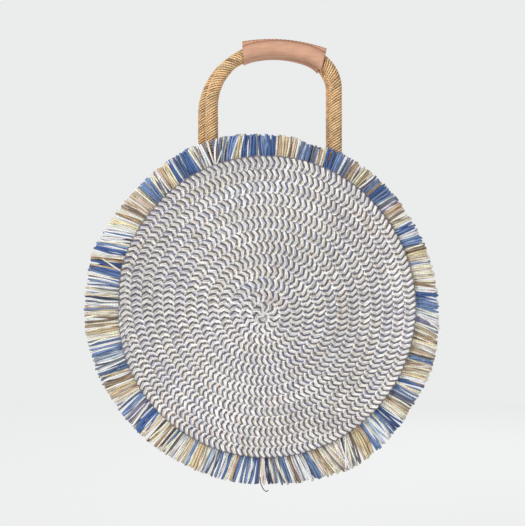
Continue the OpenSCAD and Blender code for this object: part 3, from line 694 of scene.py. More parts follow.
class BAG_OT_plait(bpy.types.Operator):
    """Wind each disc from one long flat plait of three strands"""

    bl_idname = "bag.plait"
    bl_label = "Woven discs"

    per_lobe: IntProperty(name="Points to a lobe", description="Points of a yarn for each lobe", default=4)
    parts: IntProperty(name="Pieces", description="Pieces that one disc is kept as", default=4)
    steep: FloatProperty(name="Steepness", description="How steeply the strands cross", default=0.5)
    tilt: FloatProperty(name="Tilt", description="How far a row leans over the last one", default=0.05)
    reach: FloatProperty(name="Reach", description="Half a row's width, to the rows' pitch", default=0.62)
    skew: millimetres("Skew", "How far out of a row's middle the strands cross", -0.4)
    lag: FloatProperty(name="Lag", description="How far a row's outer edge lags, to its width", default=0.3)
    sharp: FloatProperty(name="Sharpness", description="How sharply strands turn at the edges", default=0.9)
    bunch: FloatProperty(name="Bunching", description="How much yarns close up at the edges", default=0.5)
    early: FloatProperty(name="Early turn", description="How early the strands come to the top", default=0.5)
    end_angle: degrees("End", "Where the plait ends at the rim, from straight up", -75)
    tuck: FloatProperty(name="Tuck", description="Share of a turn in which the end tucks under", default=0.12)

    def spiral(self):
        """Distance along the plait, and the turn reached there."""
        plait = sizes("plait")
        first_turn = 0.12
        turn = np.linspace(first_turn, last_turn(), 40000)
        radius = plait.radius / plait.rows * turn
        steps = np.hypot(np.diff(radius), radius[1:] * np.diff(turn) * 2 * np.pi)
        return np.concatenate([[0], np.cumsum(steps)]), turn

    def yarns(self, side, rng):
        """Centre lines and dyes of the nine yarns of one disc."""
        plait = sizes("plait")
        pitch = plait.radius / plait.rows
        run, turn = self.spiral()
        period = 3 * plait.lobe
        count = int(run[-1] / period * 3 * self.per_lobe)
        s = np.linspace(0, run[-1], count)
        spread = 1.65 * plait.yarn  # from one yarn of a strand to the next
        wide = self.reach * pitch - plait.yarn - spread * (1 - self.bunch)
        high = plait.thickness / 2 - 1.5 * plait.yarn
        hold = 1.6  # how flat a strand's way is at the top and at the bottom
        sway = 0.16 * smooth_noise(rng, count, 50)
        lines, colours = [], []
        for strand in range(3):
            phase = 2 * np.pi * (s / period + strand / 3) + sway
            swing = np.arcsin(self.sharp * np.sin(phase)) / math.asin(self.sharp)
            lateral = wide * swing + self.skew * (1 - swing ** 2)
            curve = self.steep * (1 - np.cos(2 * phase))
            forward = s + period / (4 * np.pi) * curve - self.lag * lateral
            ahead = np.gradient(forward, s)
            slope = np.gradient(lateral, s)
            norm = np.hypot(ahead, slope)
            rise = -high * np.tanh(hold * np.sin(2 * phase + self.early)) / np.tanh(hold)
            for k, dye in enumerate(self.dyes(rng, count)):
                offset = (k - 1) * spread * (1 + 0.1 * smooth_noise(rng, count, 5))
                offset = offset * (1 - self.bunch * swing ** 4)
                at = np.clip(forward - offset * slope / norm, 0, run[-1])
                aside = lateral + offset * ahead / norm + 0.1 * plait.yarn * smooth_noise(rng, count, 8)
                middle = 0.4 if k == 1 else 0
                lift = rise + plait.yarn * (0.12 * smooth_noise(rng, count, 6) + middle) - self.tilt * aside
                lines.append(self.place(side, np.interp(at, run, turn), aside, lift, pitch))
                # Each yarn's dye, times the broad patches of painted light and shade
                colours.append(dye * self.painted_light(lines[-1])[:, None])
        return np.array(lines), np.array(colours)

    def place(self, side, turn, aside, lift, pitch):
        """Points on the disc, for a turn of the spiral and a yarn's place across and above it. The last turn
        is stretched to a round rim, and the end grows slimmer and dips under it."""
        plait = sizes("plait")
        back = last_turn() - turn
        part = back % 1
        eased = np.where(part < self.tuck, 1 - (1 - self.tuck) / self.tuck * part, part)
        stretch = plait.radius / (plait.radius - pitch * eased)
        tucked = np.clip(1 - back / self.tuck, 0, 1)
        shrink = 1 - 0.65 * tucked
        r = stretch * (pitch * turn + aside * shrink - pitch * tucked)
        a = self.end_angle - 2 * np.pi * back
        lift = lift * shrink - 1.2 * plait.yarn * tucked
        y = disc_y(np.minimum(r, plait.radius), a) + plait.thickness / 2 + lift
        points = on_disc(r, a, side * y)
        pull = np.maximum(0, 1 - r / plait.radius)
        points[:, 0] += plait.start_x * pull
        points[:, 2] += plait.start_z * pull
        return points

    def painted_light(self, points):
        """How much paler the plait is at each point, from the patches of painted light and shade."""
        across, up = ((points - CENTRE) / sizes("plait").radius)[:, [0, 2]].T
        return 1 + sum(tone * np.exp(-((across - x) / dx) ** 2 - ((up - z) / dz) ** 2)
                       for x, z, dx, dz, tone in PAINTED_LIGHT_PATCHES)

    def dyes(self, rng, count):
        """Dyes of a strand's three yarns: white, a pale tint, and slate that turns blue, lilac or brown. The
        white and the slate are partly the plait's own colours and partly a painted highlight and painted
        shade on each lobe.
        """
        pace = 0.035  # shades passed at each point, times the size of the noise
        made = []
        for names, every in YARN_DYES_AND_PAINTED_SHADE:
            shades = np.array([DYES[name] for name in names])
            at = np.cumsum(np.abs(smooth_noise(rng, count, every))) * pace % len(shades)
            low = at.astype(int)
            t = np.clip((at - low) * 3 - 1, 0, 1)[:, None]
            tone = 1 + 0.1 * smooth_noise(rng, count, 9)[:, None]
            made.append((shades[low] * (1 - t) + shades[(low + 1) % len(shades)] * t) * tone)
        return made

    def knot(self, name, side):
        """The coil of yarn under the first turns, which closes the disc's middle."""
        plait = sizes("plait")
        a = np.linspace(0, 6 * np.pi, 90)
        r = 0.5 * MM + plait.yarn * a / np.pi
        points = on_disc(r, a, side * (disc_y(r, a) + plait.thickness / 2 - 0.9 * MM))
        points += [plait.start_x, 0, plait.start_z]
        facing = np.array([0.0, side, 0.0])
        return tubes(f"{name}_plait_start", points[None], plait.yarn, facing, DYES["mist"])

    def execute(self, context):
        plait = sizes("plait")
        material = yarn("plaited cotton yarn", 5 * MM, 0.1, 0.14, 0.45)
        for name, side in SIDES.items():
            lines, colours = self.yarns(side, np.random.default_rng(11 + side))
            facing = np.array([0.0, side, 0.0])
            ends = np.linspace(0, lines.shape[1] - 1, self.parts + 1).astype(int)
            for k in range(self.parts):
                cut = slice(ends[k], ends[k + 1] + 1)
                piece = tubes(f"{name}_plait_{k + 1}", lines[:, cut], plait.yarn, facing, colours[:, cut])
                finish_piece(piece, "bag", material, "cotton_plait", f"{name}_panel")
            finish_piece(self.knot(name, side), "bag", material, "cotton_plait", f"{name}_panel")
        return {"FINISHED"}


# Fringe


def runs_of_dye(rng):
    """Runs of ends alike all round, in their stretch's mood: the angle where each stops, and its dye."""
    step = math.degrees(sizes("fringe").pitch / sizes("plait").radius)
    ends, dyes = [], []
    at = limit = 0
    for span, mood in STRETCHES:
        limit += span
        parted, chances = MOODS[mood]
        cream = WARM_SHARE if mood in ("gold", "tan") else COOL_SHARE
        share = np.array(list(chances.values())) / sum(chances.values())
        dealt = np.zeros(len(share))
        while at < limit:
            pick = int(np.argmax(share * (dealt.sum() + 1) - dealt + 0.4 * rng.random(len(share))))
            dealt[pick] += 1
            name = list(chances)[pick]
            longest = 1 if mood == "lines" else LONGEST.get(name, 2)
            at += step * int(rng.integers(1, longest + 1))
            ends.append(at)
            dyes.append(np.array(DYES[name]) * (1 + 0.12 * rng.normal()))
            if rng.random() < parted:
                at += step
                ends.append(at)
                dyes.append(DYES["cream" if rng.random() < cream else "white"])
    return np.array(ends), np.array(dyes)


def dyes_at(runs, angles, rng):
    """Dyes of the ends at some angles, each a little lighter or darker than its run."""
    ends, dyes = runs
    which = np.minimum(np.searchsorted(ends, np.degrees(angles) % 360), len(ends) - 1)
    return np.clip(dyes[which] * (1 + 0.12 * rng.normal(size=(len(angles), 1))), 0, 1)


def followed(knots, angles):
    """Values at some angles, read off the straight lines between knots of angle in degrees and value."""
    at, values = np.array(knots, float).T
    return np.interp(np.degrees(angles) % 360, at, values)


def trims_at(angles):
    """How far the cut passes the circle of tips."""
    return followed(TRIMS, angles) * MM


def yarn_ends(name, rng, angles, side, layer, dyes, extra=0.0, lean=0.0):
    """A row of yarn ends that stand out from the rim at the given angles and lean clockwise. They lie along a
    side's edge of the mouth, or on the middle plane where side is 0, and layer is how far behind that."""
    plait, fringe = sizes("plait"), sizes("fringe")
    count = len(angles)
    q = np.linspace(0, 1, 8)[None]
    foot = TAPE_R - 3 * fringe.yarn
    tip = tips_at(angles) + fringe.uneven * (rng.random(count) - 0.6) + extra
    stray = 0.008  # how far ends lean out of line, in radians
    lean = lean + smooth_noise(rng, count, 4) * stray + stray * rng.normal(size=count)
    bow = 0.004 * rng.normal(size=count)
    r = foot + (tip - foot)[:, None] * q
    past = np.clip((r - plait.radius) / fringe.length, 0, 1.3)
    a = angles[:, None] + lean[:, None] * past + bow[:, None] * np.sin(np.pi * past)
    depth = side * yarn_y(r, angles[:, None]) + layer
    curl = 1.3 * MM * rng.normal(size=count)[:, None] * past ** 2
    loose = 0.25 * MM * rng.normal(size=count)[:, None]
    points = on_disc(r, a, depth + curl + loose)
    width = fringe.yarn * (1 + 0.06 * rng.normal(size=count))[:, None] * (1 + 0.05 * np.sin(9 * q))
    width[:, 0] *= 0.6
    width[:, -1] *= 0.9
    flecks = 1 + 0.13 * rng.normal(size=points.shape[:2] + (1,)) + 0.04 * rng.normal(size=points.shape)
    return tubes(name, points, width, np.array([0.0, -1.0, 0.0]), np.clip(dyes[:, None] * flecks, 0, 1))


def strays(name, rng, table, side, layer):
    """Single ends that stand out from the rest, from a table of angle, lean, dye and extra length."""
    angles, leans, names, longer = zip(*table)
    angles = np.radians(angles)
    dyes = np.array([DYES[dye] for dye in names])
    extra = trims_at(angles) + np.array(longer) * MM
    return yarn_ends(name, rng, angles, side, layer, dyes, extra, np.radians(leans))


def row_of(start, end, pitch, rng):
    """Angles of yarn ends from start to end, a little unevenly spaced."""
    count = max(2, int((end - start) / pitch))
    step = (end - start) / count
    return start + step * (np.arange(count) + 0.5 + 0.18 * rng.normal(size=count))


def leg_angles(name):
    """Angles at which a handle's two legs pass the rim."""
    bend = BENDS[f"{name}_handle"][2]
    return [math.atan2(x - CENTRE[0], bend - CENTRE[2]) for x in foot_places(name)]


class BAG_OT_fringe(bpy.types.Operator):
    """Set the yarn ends round the rim and along both edges of the mouth"""

    bl_idname = "bag.fringe"
    bl_label = "Fringe"

    back_short: degrees("Back, shorter", "How much nearer the top the back edge's ends stop", 7.5)

    def rim(self, material, rng, runs):
        """Two layers of ends round the rim, those that stand out, and the loose thread."""
        plait, fringe = sizes("plait"), sizes("fringe")
        pieces = []
        for k, layer in enumerate((-0.75 * fringe.yarn, 0.75 * fringe.yarn)):
            angles = row_of(plait.mouth, 2 * np.pi - plait.mouth, fringe.pitch / plait.radius, rng)
            pieces.append(yarn_ends(f"rim_fringe_{k + 1}", rng, angles, 0, layer, dyes_at(runs, angles, rng),
                                    trims_at(angles), np.radians(followed(LEANS, angles))))
        pieces.append(strays("rim_fringe_strays", rng, RIM_STRAYS, 0, -2.2 * fringe.yarn))
        pieces.append(self.thread())
        for piece in pieces:
            finish_piece(piece, "bag", material, "yarn_fringe", "rim_fringe")

    def thread(self):
        """A loose thread that hangs out of the fringe at the bottom."""
        knots = np.array(LOOSE_THREAD)
        line = sampled(np.linspace(0, 1, 40), np.linspace(0, 1, len(knots)), knots)
        r = sizes("plait").radius + sizes("fringe").length + line[:, 0] * MM
        points = on_disc(r, np.radians(line[:, 1]), -2.2 * MM)
        return tubes("loose_thread", points[None], 0.6 * MM, np.array([0.0, -1.0, 0.0]), DYES["navy"])

    def mouth(self, name, side, material, rng, runs):
        """The ends along one edge of the mouth, with those before the handle's legs as separate pieces."""
        plait, fringe = sizes("plait"), sizes("fringe")
        reach = plait.mouth - (self.back_short if name == "back" else 0)
        legs = leg_angles(name)
        tufts = []
        for k, layer in enumerate((-0.7 * fringe.yarn, 0.7 * fringe.yarn)):
            angles = row_of(-reach, reach, fringe.pitch / plait.radius, rng)
            near = np.min([np.abs(angles - leg) for leg in legs], axis=0) < TUFT_HALF / plait.radius
            dyes = dyes_at(runs, angles, rng)
            extra = trims_at(angles)
            if name == "back":
                dark = np.abs(angles - math.radians(DARK_AT)) < math.radians(DARK_HALF)
                dyes[dark] = np.array(DYES["ink"]) * (1 + 0.2 * rng.random((dark.sum(), 1)))
                extra[dark] = -2.5 * MM
            lean = np.radians(followed(LEANS, angles)) * (name == "front")
            for kind, chosen in (("mouth_fringe", ~near), ("leg_tufts", near)):
                piece = yarn_ends(f"{name}_{kind}_{k + 1}", rng, angles[chosen], side, side * layer,
                                  dyes[chosen], extra[chosen], lean[chosen])
                body = "bag" if kind == "mouth_fringe" else None
                finish_piece(piece, body, material, "yarn_fringe", f"{name}_{kind}")
            tufts.append(piece)
        if name == "front":
            tufts.append(strays("front_leg_strays", rng, LEG_STRAYS, side, side * 2.1 * fringe.yarn))
            finish_piece(tufts[-1], None, material, "yarn_fringe", "front_leg_tufts")
        for piece in tufts:
            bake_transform(piece)

    def execute(self, context):
        material = yarn("cut cotton yarn", 4 * MM, 0.1, 0.12, 0.72)
        rng = np.random.default_rng(5)
        runs = runs_of_dye(rng)
        self.rim(material, rng, runs)
        self.mouth("front", SIDES["front"], material, rng, runs)
        self.mouth("back", SIDES["back"], material, rng, runs_of_dye(rng))
        return {"FINISHED"}


# Handles


def arcs(name):
    """A handle's arcs from left to right, each with its centre, radius, and first and last angle from +X."""
    handle, grip = sizes("handles"), sizes("grips")
    left_r, right_r = getattr(handle, f"{name}_left"), getattr(handle, f"{name}_right")
    shift = handle.back_shift if name == "back" else 0
    top = np.array([-shift, handle.rope + FIT + grip.leather - handle.top])
    first, last = math.pi - handle.left_turn, handle.right_turn
    left = top + (handle.top - left_r) * np.array([math.cos(first), math.sin(first)])
    right = top + (handle.top - right_r) * np.array([math.cos(last), math.sin(last)])
    return (left, left_r, math.pi, first), (top, handle.top, first, last), (right, right_r, last, 0)


def foot_places(name):
    """X of the points where a handle's legs meet the bending line."""
    left, _, right = arcs(name)
    return [left[0][0] - left[1], right[0][0] + right[1]]


def arch_line(name, step):
    """Points of a handle's centre line, and their directions out of the arch, both as x and z."""
    bend = BENDS[f"{name}_handle"][2]
    shape = arcs(name)
    feet = foot_places(name)
    up = np.arange(bend, shape[0][0][1], step)
    points, normals = [np.stack([0 * up + feet[0], up], axis=1)], [np.tile([-1.0, 0.0], (len(up), 1))]
    for centre, radius, start, end in shape:
        t = np.linspace(start, end, int(radius * abs(end - start) / step), endpoint=False)
        out = np.stack([np.cos(t), np.sin(t)], axis=1)
        points.append(centre + radius * out)
        normals.append(out)
    down = np.arange(bend, shape[2][0][1], step)[::-1]
    points.append(np.stack([0 * down + feet[1], down], axis=1))
    normals.append(np.tile([1.0, 0.0], (len(down), 1)))
    return np.concatenate(points), np.concatenate(normals)


def sewn_end(name, foot, way):
    """A rope's end below one foot, down the strap that is sewn in: its points and outward directions."""
    handle, plait = sizes("handles"), sizes("plait")
    a = math.atan2(foot[0] - CENTRE[0], foot[2] - CENTRE[2])
    radii = plait.radius - np.array([4 * MM, handle.strap_length])
    tape = 1.7 * MM  # half the tape that the strap lies on, and a gap
    depth = yarn_y(radii, a) - tape - handle.strap_thickness / 2
    high, low = on_disc(radii, a, SIDES[name] * depth)
    below = foot - [0, 0, 6 * MM]
    above = high + (high - low) * 0.35
    t = np.linspace(0, 1, 120)[1:, None]
    curve = (1 - t) ** 3 * foot + 3 * (1 - t) ** 2 * t * below + 3 * (1 - t) * t ** 2 * above + t ** 3 * high
    points = np.concatenate([curve, high + (low - high) * t])
    return points, np.tile([way * math.cos(a), 0, -way * math.sin(a)], (len(points), 1))


def rope_line(name, step=0.5 * MM):
    """A rope from sewn end to sewn end, at even distances: those, its centre line, its outward and sideways
    directions, and half its width and thickness."""
    handle = sizes("handles")
    bend = BENDS[f"{name}_handle"]
    flat, out = arch_line(name, step)
    arch = np.insert(flat, 1, bend[1], axis=1)
    left, left_out = sewn_end(name, arch[0], -1)
    right, right_out = sewn_end(name, arch[-1], 1)
    line = np.concatenate([left[::-1], arch, right])
    outward = np.concatenate([left_out, np.insert(out, 1, 0, axis=1), right_out])
    run = distances(line)
    even = np.arange(0, run[-1], step)
    flatten = smooth_step(np.clip((bend[2] - line[:, 2]) / (16 * MM), 0, 1))
    wide = np.interp(even, run, handle.rope + (handle.strap_width / 2 - handle.rope) * flatten)
    thick = np.interp(even, run, handle.rope + (handle.strap_thickness / 2 - handle.rope) * flatten)
    line = sampled(even, run, line)
    along = unit(np.gradient(line, axis=0))
    outward = square_to(sampled(even, run, outward), along)
    return even, line, outward, np.cross(along, outward), wide, thick


def grip_span(name):
    """First and last distance along its rope that a grip covers."""
    grip = sizes("grips")
    run, line, *_ = rope_line(name)
    x = line[:, 0] - arcs(name)[1][0][0]
    inside = (x > -getattr(grip, f"{name}_left")) & (x < grip.right) & (line[:, 2] > -25 * MM)
    return run[inside][0], run[inside][-1]


class BAG_OT_ropes(bpy.types.Operator):
    """Lay each rope and wind it with twine"""

    bl_idname = "bag.ropes"
    bl_label = "Rope handles"

    per_turn: IntProperty(name="Points to a turn", description="Points of a twine for each turn", default=20)
    sides: IntProperty(name="Sides", description="Sides of the rope under the twine", default=24)

    def core(self, name, line, out, aside, wide, thick):
        """The rope inside the twine, one closed tube."""
        keep = slice(None, None, 5)  # one place in five
        turn = np.arange(self.sides)[:, None] / self.sides * 2 * np.pi
        out, aside = (out * wide[:, None])[keep, None], (aside * thick[:, None])[keep, None]
        points = line[keep, None] + np.cos(turn) * out + np.sin(turn) * aside
        # The core's dark brown is painted shade, for where it shows in the gaps between the twines
        dyes = np.broadcast_to(linear("#3A2814"), points.shape)
        return new_piece(f"{name}_rope", points, bar_quads(*points.shape[:2]), dyes)

    def twine(self, name, run, line, out, aside, wide, thick):
        """The twine round the rope on both sides of the grip, some strands side by side."""
        handle = sizes("handles")
        rng = np.random.default_rng(21 if name == "front" else 22)
        pitch = 2 * handle.twine * 1.32  # more than a twine's width, as it crosses the rope on a slant
        lead = handle.starts * pitch
        first, last = grip_span(name)
        under = 6 * MM  # how far the twine runs on under the grip
        paths, facings, dyes = [], [], []
        for start, end in ((run[0], first + under), (last - under, run[-1])):
            count = int((end - start) / lead * self.per_turn)
            s = np.linspace(start, end, count)
            centre = sampled(s, run, line)
            up = sampled(s, run, out)
            sideways = sampled(s, run, aside)
            half = sampled(s, run, np.stack([wide, thick], axis=1))
            for k in range(handle.starts):
                wander = 0.004 * smooth_noise(rng, count, 40)
                phase = 2 * np.pi * (s / lead + k / handle.starts + wander)[:, None]
                loose = 1 + 0.012 * smooth_noise(rng, count, 6)[:, None]
                over, beside = np.cos(phase) * up, np.sin(phase) * sideways
                paths.append(centre + (over * half[:, :1] + beside * half[:, 1:]) * loose)
                facings.append(over + beside)
                tone = 1.03 + 0.04 * rng.normal() + 0.17 * smooth_noise(rng, count, 2)
                tone = np.minimum(1.18, tone + 0.14 * smooth_noise(rng, count, 7))
                warm = smooth_noise(rng, count, 12)[:, None] * [0.03, -0.01, -0.02]
                dyes.append(np.array(sizes("colours").jute) * tone[:, None] + warm)
        fine = np.linspace(0, 1, max(len(rows) for rows in paths))
        paths, facings, dyes = (
            np.array([sampled(fine, np.linspace(0, 1, len(rows)), rows) for rows in group])
            for group in (paths, facings, dyes))
        return tubes(f"{name}_rope_twine", paths, handle.twine, facings, np.clip(dyes, 0, 1))

    def execute(self, context):
        handle = sizes("handles")
        material = yarn("twisted jute twine", 3.4 * MM, 0.2, 0.3, 0.92)
        inner = yarn("cotton rope", 8 * MM, 0.1, 0.08, 0.0)
        for name in SIDES:
            run, line, out, aside, wide, thick = rope_line(name)
            core = self.core(name, line, out, aside, wide - handle.twine, thick - handle.twine * 0.9)
            finish_piece(core, None, inner, "rope_core", f"{name}_rope_core")
            twine = self.twine(name, run, line, out, aside, wide - handle.twine, thick - handle.twine)
            finish_piece(twine, None, material, "twine", f"{name}_rope_winding", f"{name}_handle_ends")
            for piece in (core, twine):
                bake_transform(piece)
        return {"FINISHED"}


class BAG_OT_grips(bpy.types.Operator):
    """Wrap each handle's top in leather, sewn along a flange"""

    bl_idname = "bag.grips"
    bl_label = "Leather grips"

    stations: IntProperty(name="Stations", description="Sections along a grip", default=48)

    def section(self):
        """Half of the leather's middle line, from the flange's foot to the underside, as places beside and
        above the rope's centre."""
        handle, grip = sizes("handles"), sizes("grips")
        inner = grip.leather * 0.52
        r = handle.rope + FIT + grip.leather / 2
        turns = np.linspace(math.radians(40), math.pi, 17)
        sleeve = [(r * math.sin(t), r * math.cos(t)) for t in turns]
        foot, bend, end = np.array([(inner, r + 1.3 * MM), (inner, r - 0.8 * MM), sleeve[0]])
        fillet = [(1 - t) ** 2 * foot + 2 * (1 - t) * t * bend + t ** 2 * end for t in np.linspace(0, 1, 6)]
        return [tuple(place) for place in fillet] + sleeve[1:]

    def grid(self, name):
        """Points of the leather's middle line at each station, from one flange edge round to the other."""
        grip = sizes("grips")
        _, line, out, *_ = rope_line(name)
        keep = line[:, 2] > -70 * MM  # the arch without its legs
        middle = arcs(name)[1][0][0]
        flat, up = line[keep][:, [0, 2]] - [middle, 0], out[keep][:, [0, 2]]
        gap = flat - [-grip.edge_left, grip.edge_up - grip.edge]
        along = (gap * up).sum(axis=1)
        rise = -along + np.sqrt(np.maximum(0, along ** 2 - (gap ** 2).sum(axis=1) + grip.edge ** 2))
        half = self.section()
        inner, foot = half[0]
        flange = [(inner, foot + (rise - foot) * share) for share in np.linspace(1, 0, 6)[:-1]]
        half = flange + half
        rows = []
        for u, v in [(-u, v) for u, v in half] + half[-2::-1]:
            place = flat + np.reshape(v, (-1, 1)) * up
            start = place[:, 0] + place[:, 1] * math.tan(grip.left_slant)
            end = place[:, 0] - place[:, 1] * math.tan(grip.right_slant)
            order = np.arange(len(place))
            first = np.interp(-getattr(grip, f"{name}_left"), start, order)
            last = np.interp(grip.right, end, order)
            x, z = sampled(np.linspace(first, last, self.stations), order, place).T
            rows.append(np.stack([x + middle, 0 * x + BENDS[f"{name}_handle"][1] + u, z], axis=1))
        return np.array(rows)

    def tones(self, rows):
        """How dark the leather is at each point: darker at its cut edges, and painted shade along the
        flange's crease.
        """
        half = np.ones(len(rows) // 2 + 1)
        # Down the flange from its cut top edge; the dip at its foot is painted shade in the crease
        down_flange = (0.6, 0.9, 0.97, 0.97, 0.9, 0.55, 0.5, 0.62, 0.85)
        half[:len(down_flange)] = down_flange
        across = np.concatenate([half, half[-2::-1]])[:len(rows)]
        along = np.ones(rows.shape[1])
        along[[0, -1]] = 0.7
        tone = across[:, None] * along
        return np.stack([tone ** 0.8, tone, tone ** 1.1], axis=-1)

    def stitches(self, name, rows):
        """Short stitches along both faces of the flange."""
        grip = sizes("grips")
        pace = 1.55 * grip.stitch
        dip = np.array([-0.5, 0.15, 0.3, 0.3, 0.15, -0.5]) * MM  # a stitch over the leather's face
        paths = []
        for row, side in ((rows[1], -1), (rows[-2], 1)):
            run = distances(row)
            for start in np.arange(2.5 * MM, run[-1] - 4 * MM, pace):
                place = sampled(start + grip.stitch * np.linspace(0, 1, len(dip)), run, row)
                place[:, 1] += side * (grip.leather / 2 + dip)
                paths.append(place)
        facing = np.array([0.0, 0.0, 1.0])
        return tubes(f"{name}_grip_thread", np.array(paths), 0.36 * MM, facing, linear("#A87656"))

    def execute(self, context):
        grip = sizes("grips")
        material = smooth_leather("rolled vegetable-tanned leather", tuple(sizes("colours").leather))
        thread = yarn("waxed thread", 2 * MM, 0.08, 0.04, 0.2, roughness=0.6)
        for name in SIDES:
            rows = self.grid(name)
            piece = skin(f"{name}_grip_leather", rows, grip.leather * 0.96, dyes=self.tones(rows))
            add_modifier(piece, "BEVEL", width=0.35 * MM, segments=2, limit_method="ANGLE",
                         angle_limit=math.radians(50))
            finish_piece(piece, f"{name}_handle", material, "leather", f"{name}_grip")
            sewn = self.stitches(name, rows)
            finish_piece(sewn, f"{name}_handle", thread, "leather_thread", f"{name}_grip_stitches")
        return {"FINISHED"}


# Lining


def lining_y(r, a, name):
    """Distance from the middle plane to a lining half's outer face."""
    plait, lining, handle = sizes("plait"), sizes("lining"), sizes("handles")
    bulge = sum(np.exp(-(wrapped(a - leg) / math.radians(6)) ** 2) for leg in leg_angles(name))
    swell = np.maximum(0, 1 - (r / lining.radius) ** 2) ** 1.1
    room = lining.cloth + plait.seam_gap + 2.9 * MM  # what lies beside the lining at the mouth
    open_y = plait.gape * (r / plait.radius) ** 3 - room - (handle.strap_thickness + 2 * FIT) * bulge
    return lining.cloth + FIT / 2 + lining.bulge * swell + gape_share(a) * np.maximum(0, open_y)


def lining_edge(a):
    """Radius of a lining half's edge: it climbs to the tape along the mouth."""
    lining = sizes("lining")
    lip = TAPE_R - sizes("plait").seam_gap - lining.radius
    return lining.radius + lip * np.clip((gape_share(a) - 0.65) / 0.2, 0, 1)


class BAG_OT_lining(bpy.types.Operator):
    """Fit the lining, the hems of the mouth and the tapes"""

    bl_idname = "bag.lining"
    bl_label = "Lining, hems and tapes"

    hem_height: millimetres("Hem height", "Height of a hem", 7.6)
    tape_width: millimetres("Tape width", "Width of a tape", 14)
    tape_thickness: millimetres("Tape thickness", "Thickness of a tape", 2.7)

    def half(self, name, side, cloth):
        """One half of the lining, a disc that swells out and stands off along the mouth."""
        lining = sizes("lining")
        a = np.linspace(0, 2 * np.pi, 145)[:-1]
        share = np.linspace(0, 1, 34)[:, None]
        r = share * lining_edge(a)
        crease = 0.35 * MM * np.sin(7 * a + 9 * share) * share ** 2 * (1 - share)
        y = lining_y(r, a, name) - lining.cloth / 2 - np.abs(crease)
        piece = skin(f"{name}_lining_cloth", on_disc(r, a, side * y), lining.cloth, closed=True)
        finish_piece(piece, "bag", cloth, "lining", f"{name}_lining")

    def hem(self, name, side, cloth):
        """The padded hem between the handle's legs."""
        low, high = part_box(f"{name}_mouth_hem")
        middle = sizes("plait").radius - 9 * MM
        start, end = (math.asin((x - CENTRE[0]) / middle) for x in (low[0], high[0]))
        room = 0.01  # angle by which each end of the hem is shorter
        a = np.linspace(start + room, end - room, 80)[:, None]
        top = lining_edge(a)
        inner = lining_y(top, a, name) + FIT
        outer = yarn_y(top, a) - 1.9 * MM
        t = np.linspace(0, 2 * np.pi, 17)[:-1]
        r = top - 4 * MM + self.hem_height / 2 * squared_off(np.cos(t), 0.6)
        deep = 8 * MM  # how far down the lean of the disc's edge is taken
        lean = (yarn_y(top, a) - yarn_y(top - deep, a)) / deep
        y = (inner + outer) / 2 + (outer - inner) / 2 * np.sin(t) * 0.95 + lean * (r - top)
        piece = closed_bar(f"{name}_mouth_hem_roll", on_disc(r, a, side * y))
        finish_piece(piece, "bag", cloth, "lining", f"{name}_mouth_hem")

    def tape(self, node_name, side, start, end, count, material):
        """A flat tape with thin edges, along a side's edge of the mouth, or on the middle plane where side
        is 0."""
        a = np.linspace(start, end, count)[:, None]
        t = np.linspace(0, 2 * np.pi, 13)[:-1]
        r = TAPE_R + self.tape_width / 2 * (squared_off(np.cos(t), 0.4) - 1)
        y = side * yarn_y(r, a) + self.tape_thickness / 2 * squared_off(np.sin(t), 0.4)
        piece = closed_bar(f"{node_name}_strip", on_disc(r, a, y))
        finish_piece(piece, "bag", material, "cotton_tape", node_name)

    def execute(self, context):
        cloth = plain_weave("cotton lining cloth", linear("#DCCFB6"), 0.9 * MM)
        woven = plain_weave("woven cotton tape", linear("#D8D2C4"), 1.2 * MM)
        room = 0.004  # angle by which each end of a tape is shorter
        for name, side in SIDES.items():
            self.half(name, side, cloth)
            self.hem(name, side, cloth)
            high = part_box(f"{name}_mouth_tape")[1]
            reach = math.asin(min(1, (high[0] - CENTRE[0]) / TAPE_R)) - room
            self.tape(f"{name}_mouth_tape", side, -reach, reach, 120, woven)
        mouth = sizes("plait").mouth
        self.tape("rim_tape", 0, mouth + room, 2 * np.pi - mouth - room, 200, woven)
        return {"FINISHED"}


class BAG_OT_pocket(bpy.types.Operator):
    """Sew the slip pocket to the back lining"""

    bl_idname = "bag.pocket"
    bl_label = "Slip pocket"

    def binding(self, material):
        """The bar round the pocket's top edge."""
        low, high = (np.array(corner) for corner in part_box("pocket_binding"))
        middle, half = (low + high) / 2, (high - low) / 2
        t = np.linspace(0, 2 * np.pi, 17)[:-1]
        x = np.linspace(low[0] + 1 * MM, high[0] - 1 * MM, 60)[:, None]
        y = middle[1] + half[1] * squared_off(np.sin(t), 0.5)
        z = middle[2] + half[2] * squared_off(np.cos(t), 0.5)
        bar = closed_bar("pocket_binding_strip", np.stack(np.broadcast_arrays(x, y, z), axis=-1))
        finish_piece(bar, "bag", material, "binding", "pocket_binding")
        return bar

    def execute(self, context):
        lining = sizes("lining")
        cloth = plain_weave("cotton pocket cloth", linear("#E2D8C4"), 0.9 * MM)
        edge = plain_weave("blue cotton binding", linear("#4F6694"), 0.8 * MM)
        low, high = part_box("slip_pocket")
        x = np.linspace(low[0], high[0], 60)
        z = np.linspace(low[2], high[2] - 0.5 * MM, 50)
        xx, zz = np.meshgrid(x, z, indexing="ij")
        across, up = xx - CENTRE[0], zz - CENTRE[2]
        wall = lining_y(np.hypot(across, up), np.arctan2(across, up), "back") - 1.5 * lining.cloth
        front = lining.pocket_y + lining.cloth / 2
        side_depth = 6 * MM  # how far in from its sewn edges the pocket meets its front
        inset = np.minimum(np.minimum(xx - low[0], high[0] - xx), zz - low[2]) / side_depth
        y = front + (wall - front) * np.clip(1 - inset, 0, 1) ** 3
        piece = skin("slip_pocket_cloth", np.stack([xx, y, zz], axis=-1), lining.cloth)
        finish_piece(piece, "bag", cloth, "pocket", "slip_pocket")
        self.binding(edge)
        return {"FINISHED"}


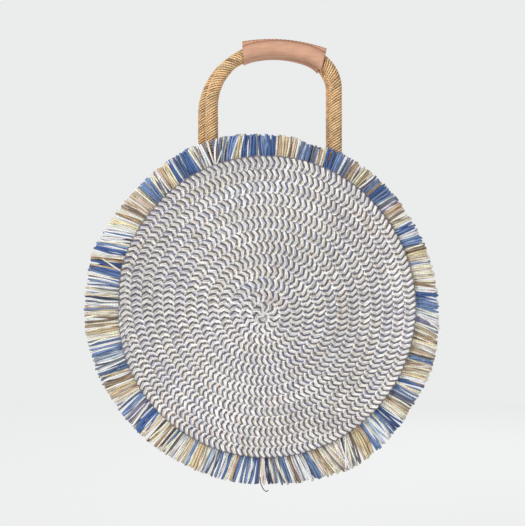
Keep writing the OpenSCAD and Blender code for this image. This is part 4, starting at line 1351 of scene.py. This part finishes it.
class BAG_OT_hardware(bpy.types.Operator):
    """Give the snap, its washers and the seam stitches their finishes"""

    bl_idname = "bag.hardware"
    bl_label = "Snap and stitches"

    def execute(self, context):
        brass = worn_metal("polished brass plate", linear("#C9AE74"), 0.22, 1.5 * MM)
        steel = worn_metal("brushed steel", linear("#B8B9BC"), 0.38, 0.8 * MM)
        thread = plain_weave("cotton sewing thread", linear("#E4DFD2"), 0.8 * MM)
        for name, material in (("snap_male", brass), ("snap_female", brass), ("male_washer", steel),
                               ("female_washer", steel), ("rim_stitches", thread)):
            for holder in frame["nodes"][name].material_slots:
                holder.material = material
        return {"FINISHED"}


class BAG_PT_panel(bpy.types.Panel):
    """Shows the bag's sizes and the buttons that build it"""

    bl_label = "Bag"
    bl_idname = "BAG_PT_panel"
    bl_space_type = "VIEW_3D"
    bl_region_type = "UI"
    bl_category = "Bag"

    def draw(self, context):
        for group in GROUPS:
            values = sizes(group)
            box = self.layout.box()
            for name in values.__annotations__:
                box.prop(values, name)
        for operator in OPERATORS:
            self.layout.operator(operator.bl_idname)


GROUPS = {"plait": PlaitSizes, "fringe": FringeSizes, "handles": HandleSizes, "grips": GripSizes,
          "lining": LiningSizes, "colours": BagColours}
OPERATORS = (BAG_OT_stage, BAG_OT_plait, BAG_OT_fringe, BAG_OT_ropes, BAG_OT_grips, BAG_OT_lining,
             BAG_OT_pocket, BAG_OT_hardware)


def register():
    """Add the classes and the groups of sizes."""
    for cls in (*GROUPS.values(), *OPERATORS, BAG_PT_panel):
        bpy.utils.register_class(cls)
    for group, cls in GROUPS.items():
        setattr(bpy.types.Scene, f"bag_{group}", PointerProperty(type=cls))


def unregister():
    """Take them away again."""
    for group in GROUPS:
        delattr(bpy.types.Scene, f"bag_{group}")
    for cls in (BAG_PT_panel, *OPERATORS[::-1], *list(GROUPS.values())[::-1]):
        bpy.utils.unregister_class(cls)


def main():
    """Build the bag."""
    register()
    bpy.ops.bag.stage()
    bpy.ops.bag.plait()
    bpy.ops.bag.fringe()
    bpy.ops.bag.ropes()
    bpy.ops.bag.grips()
    bpy.ops.bag.lining()
    bpy.ops.bag.pocket()
    bpy.ops.bag.hardware()


if __name__ == "__main__":
    main()
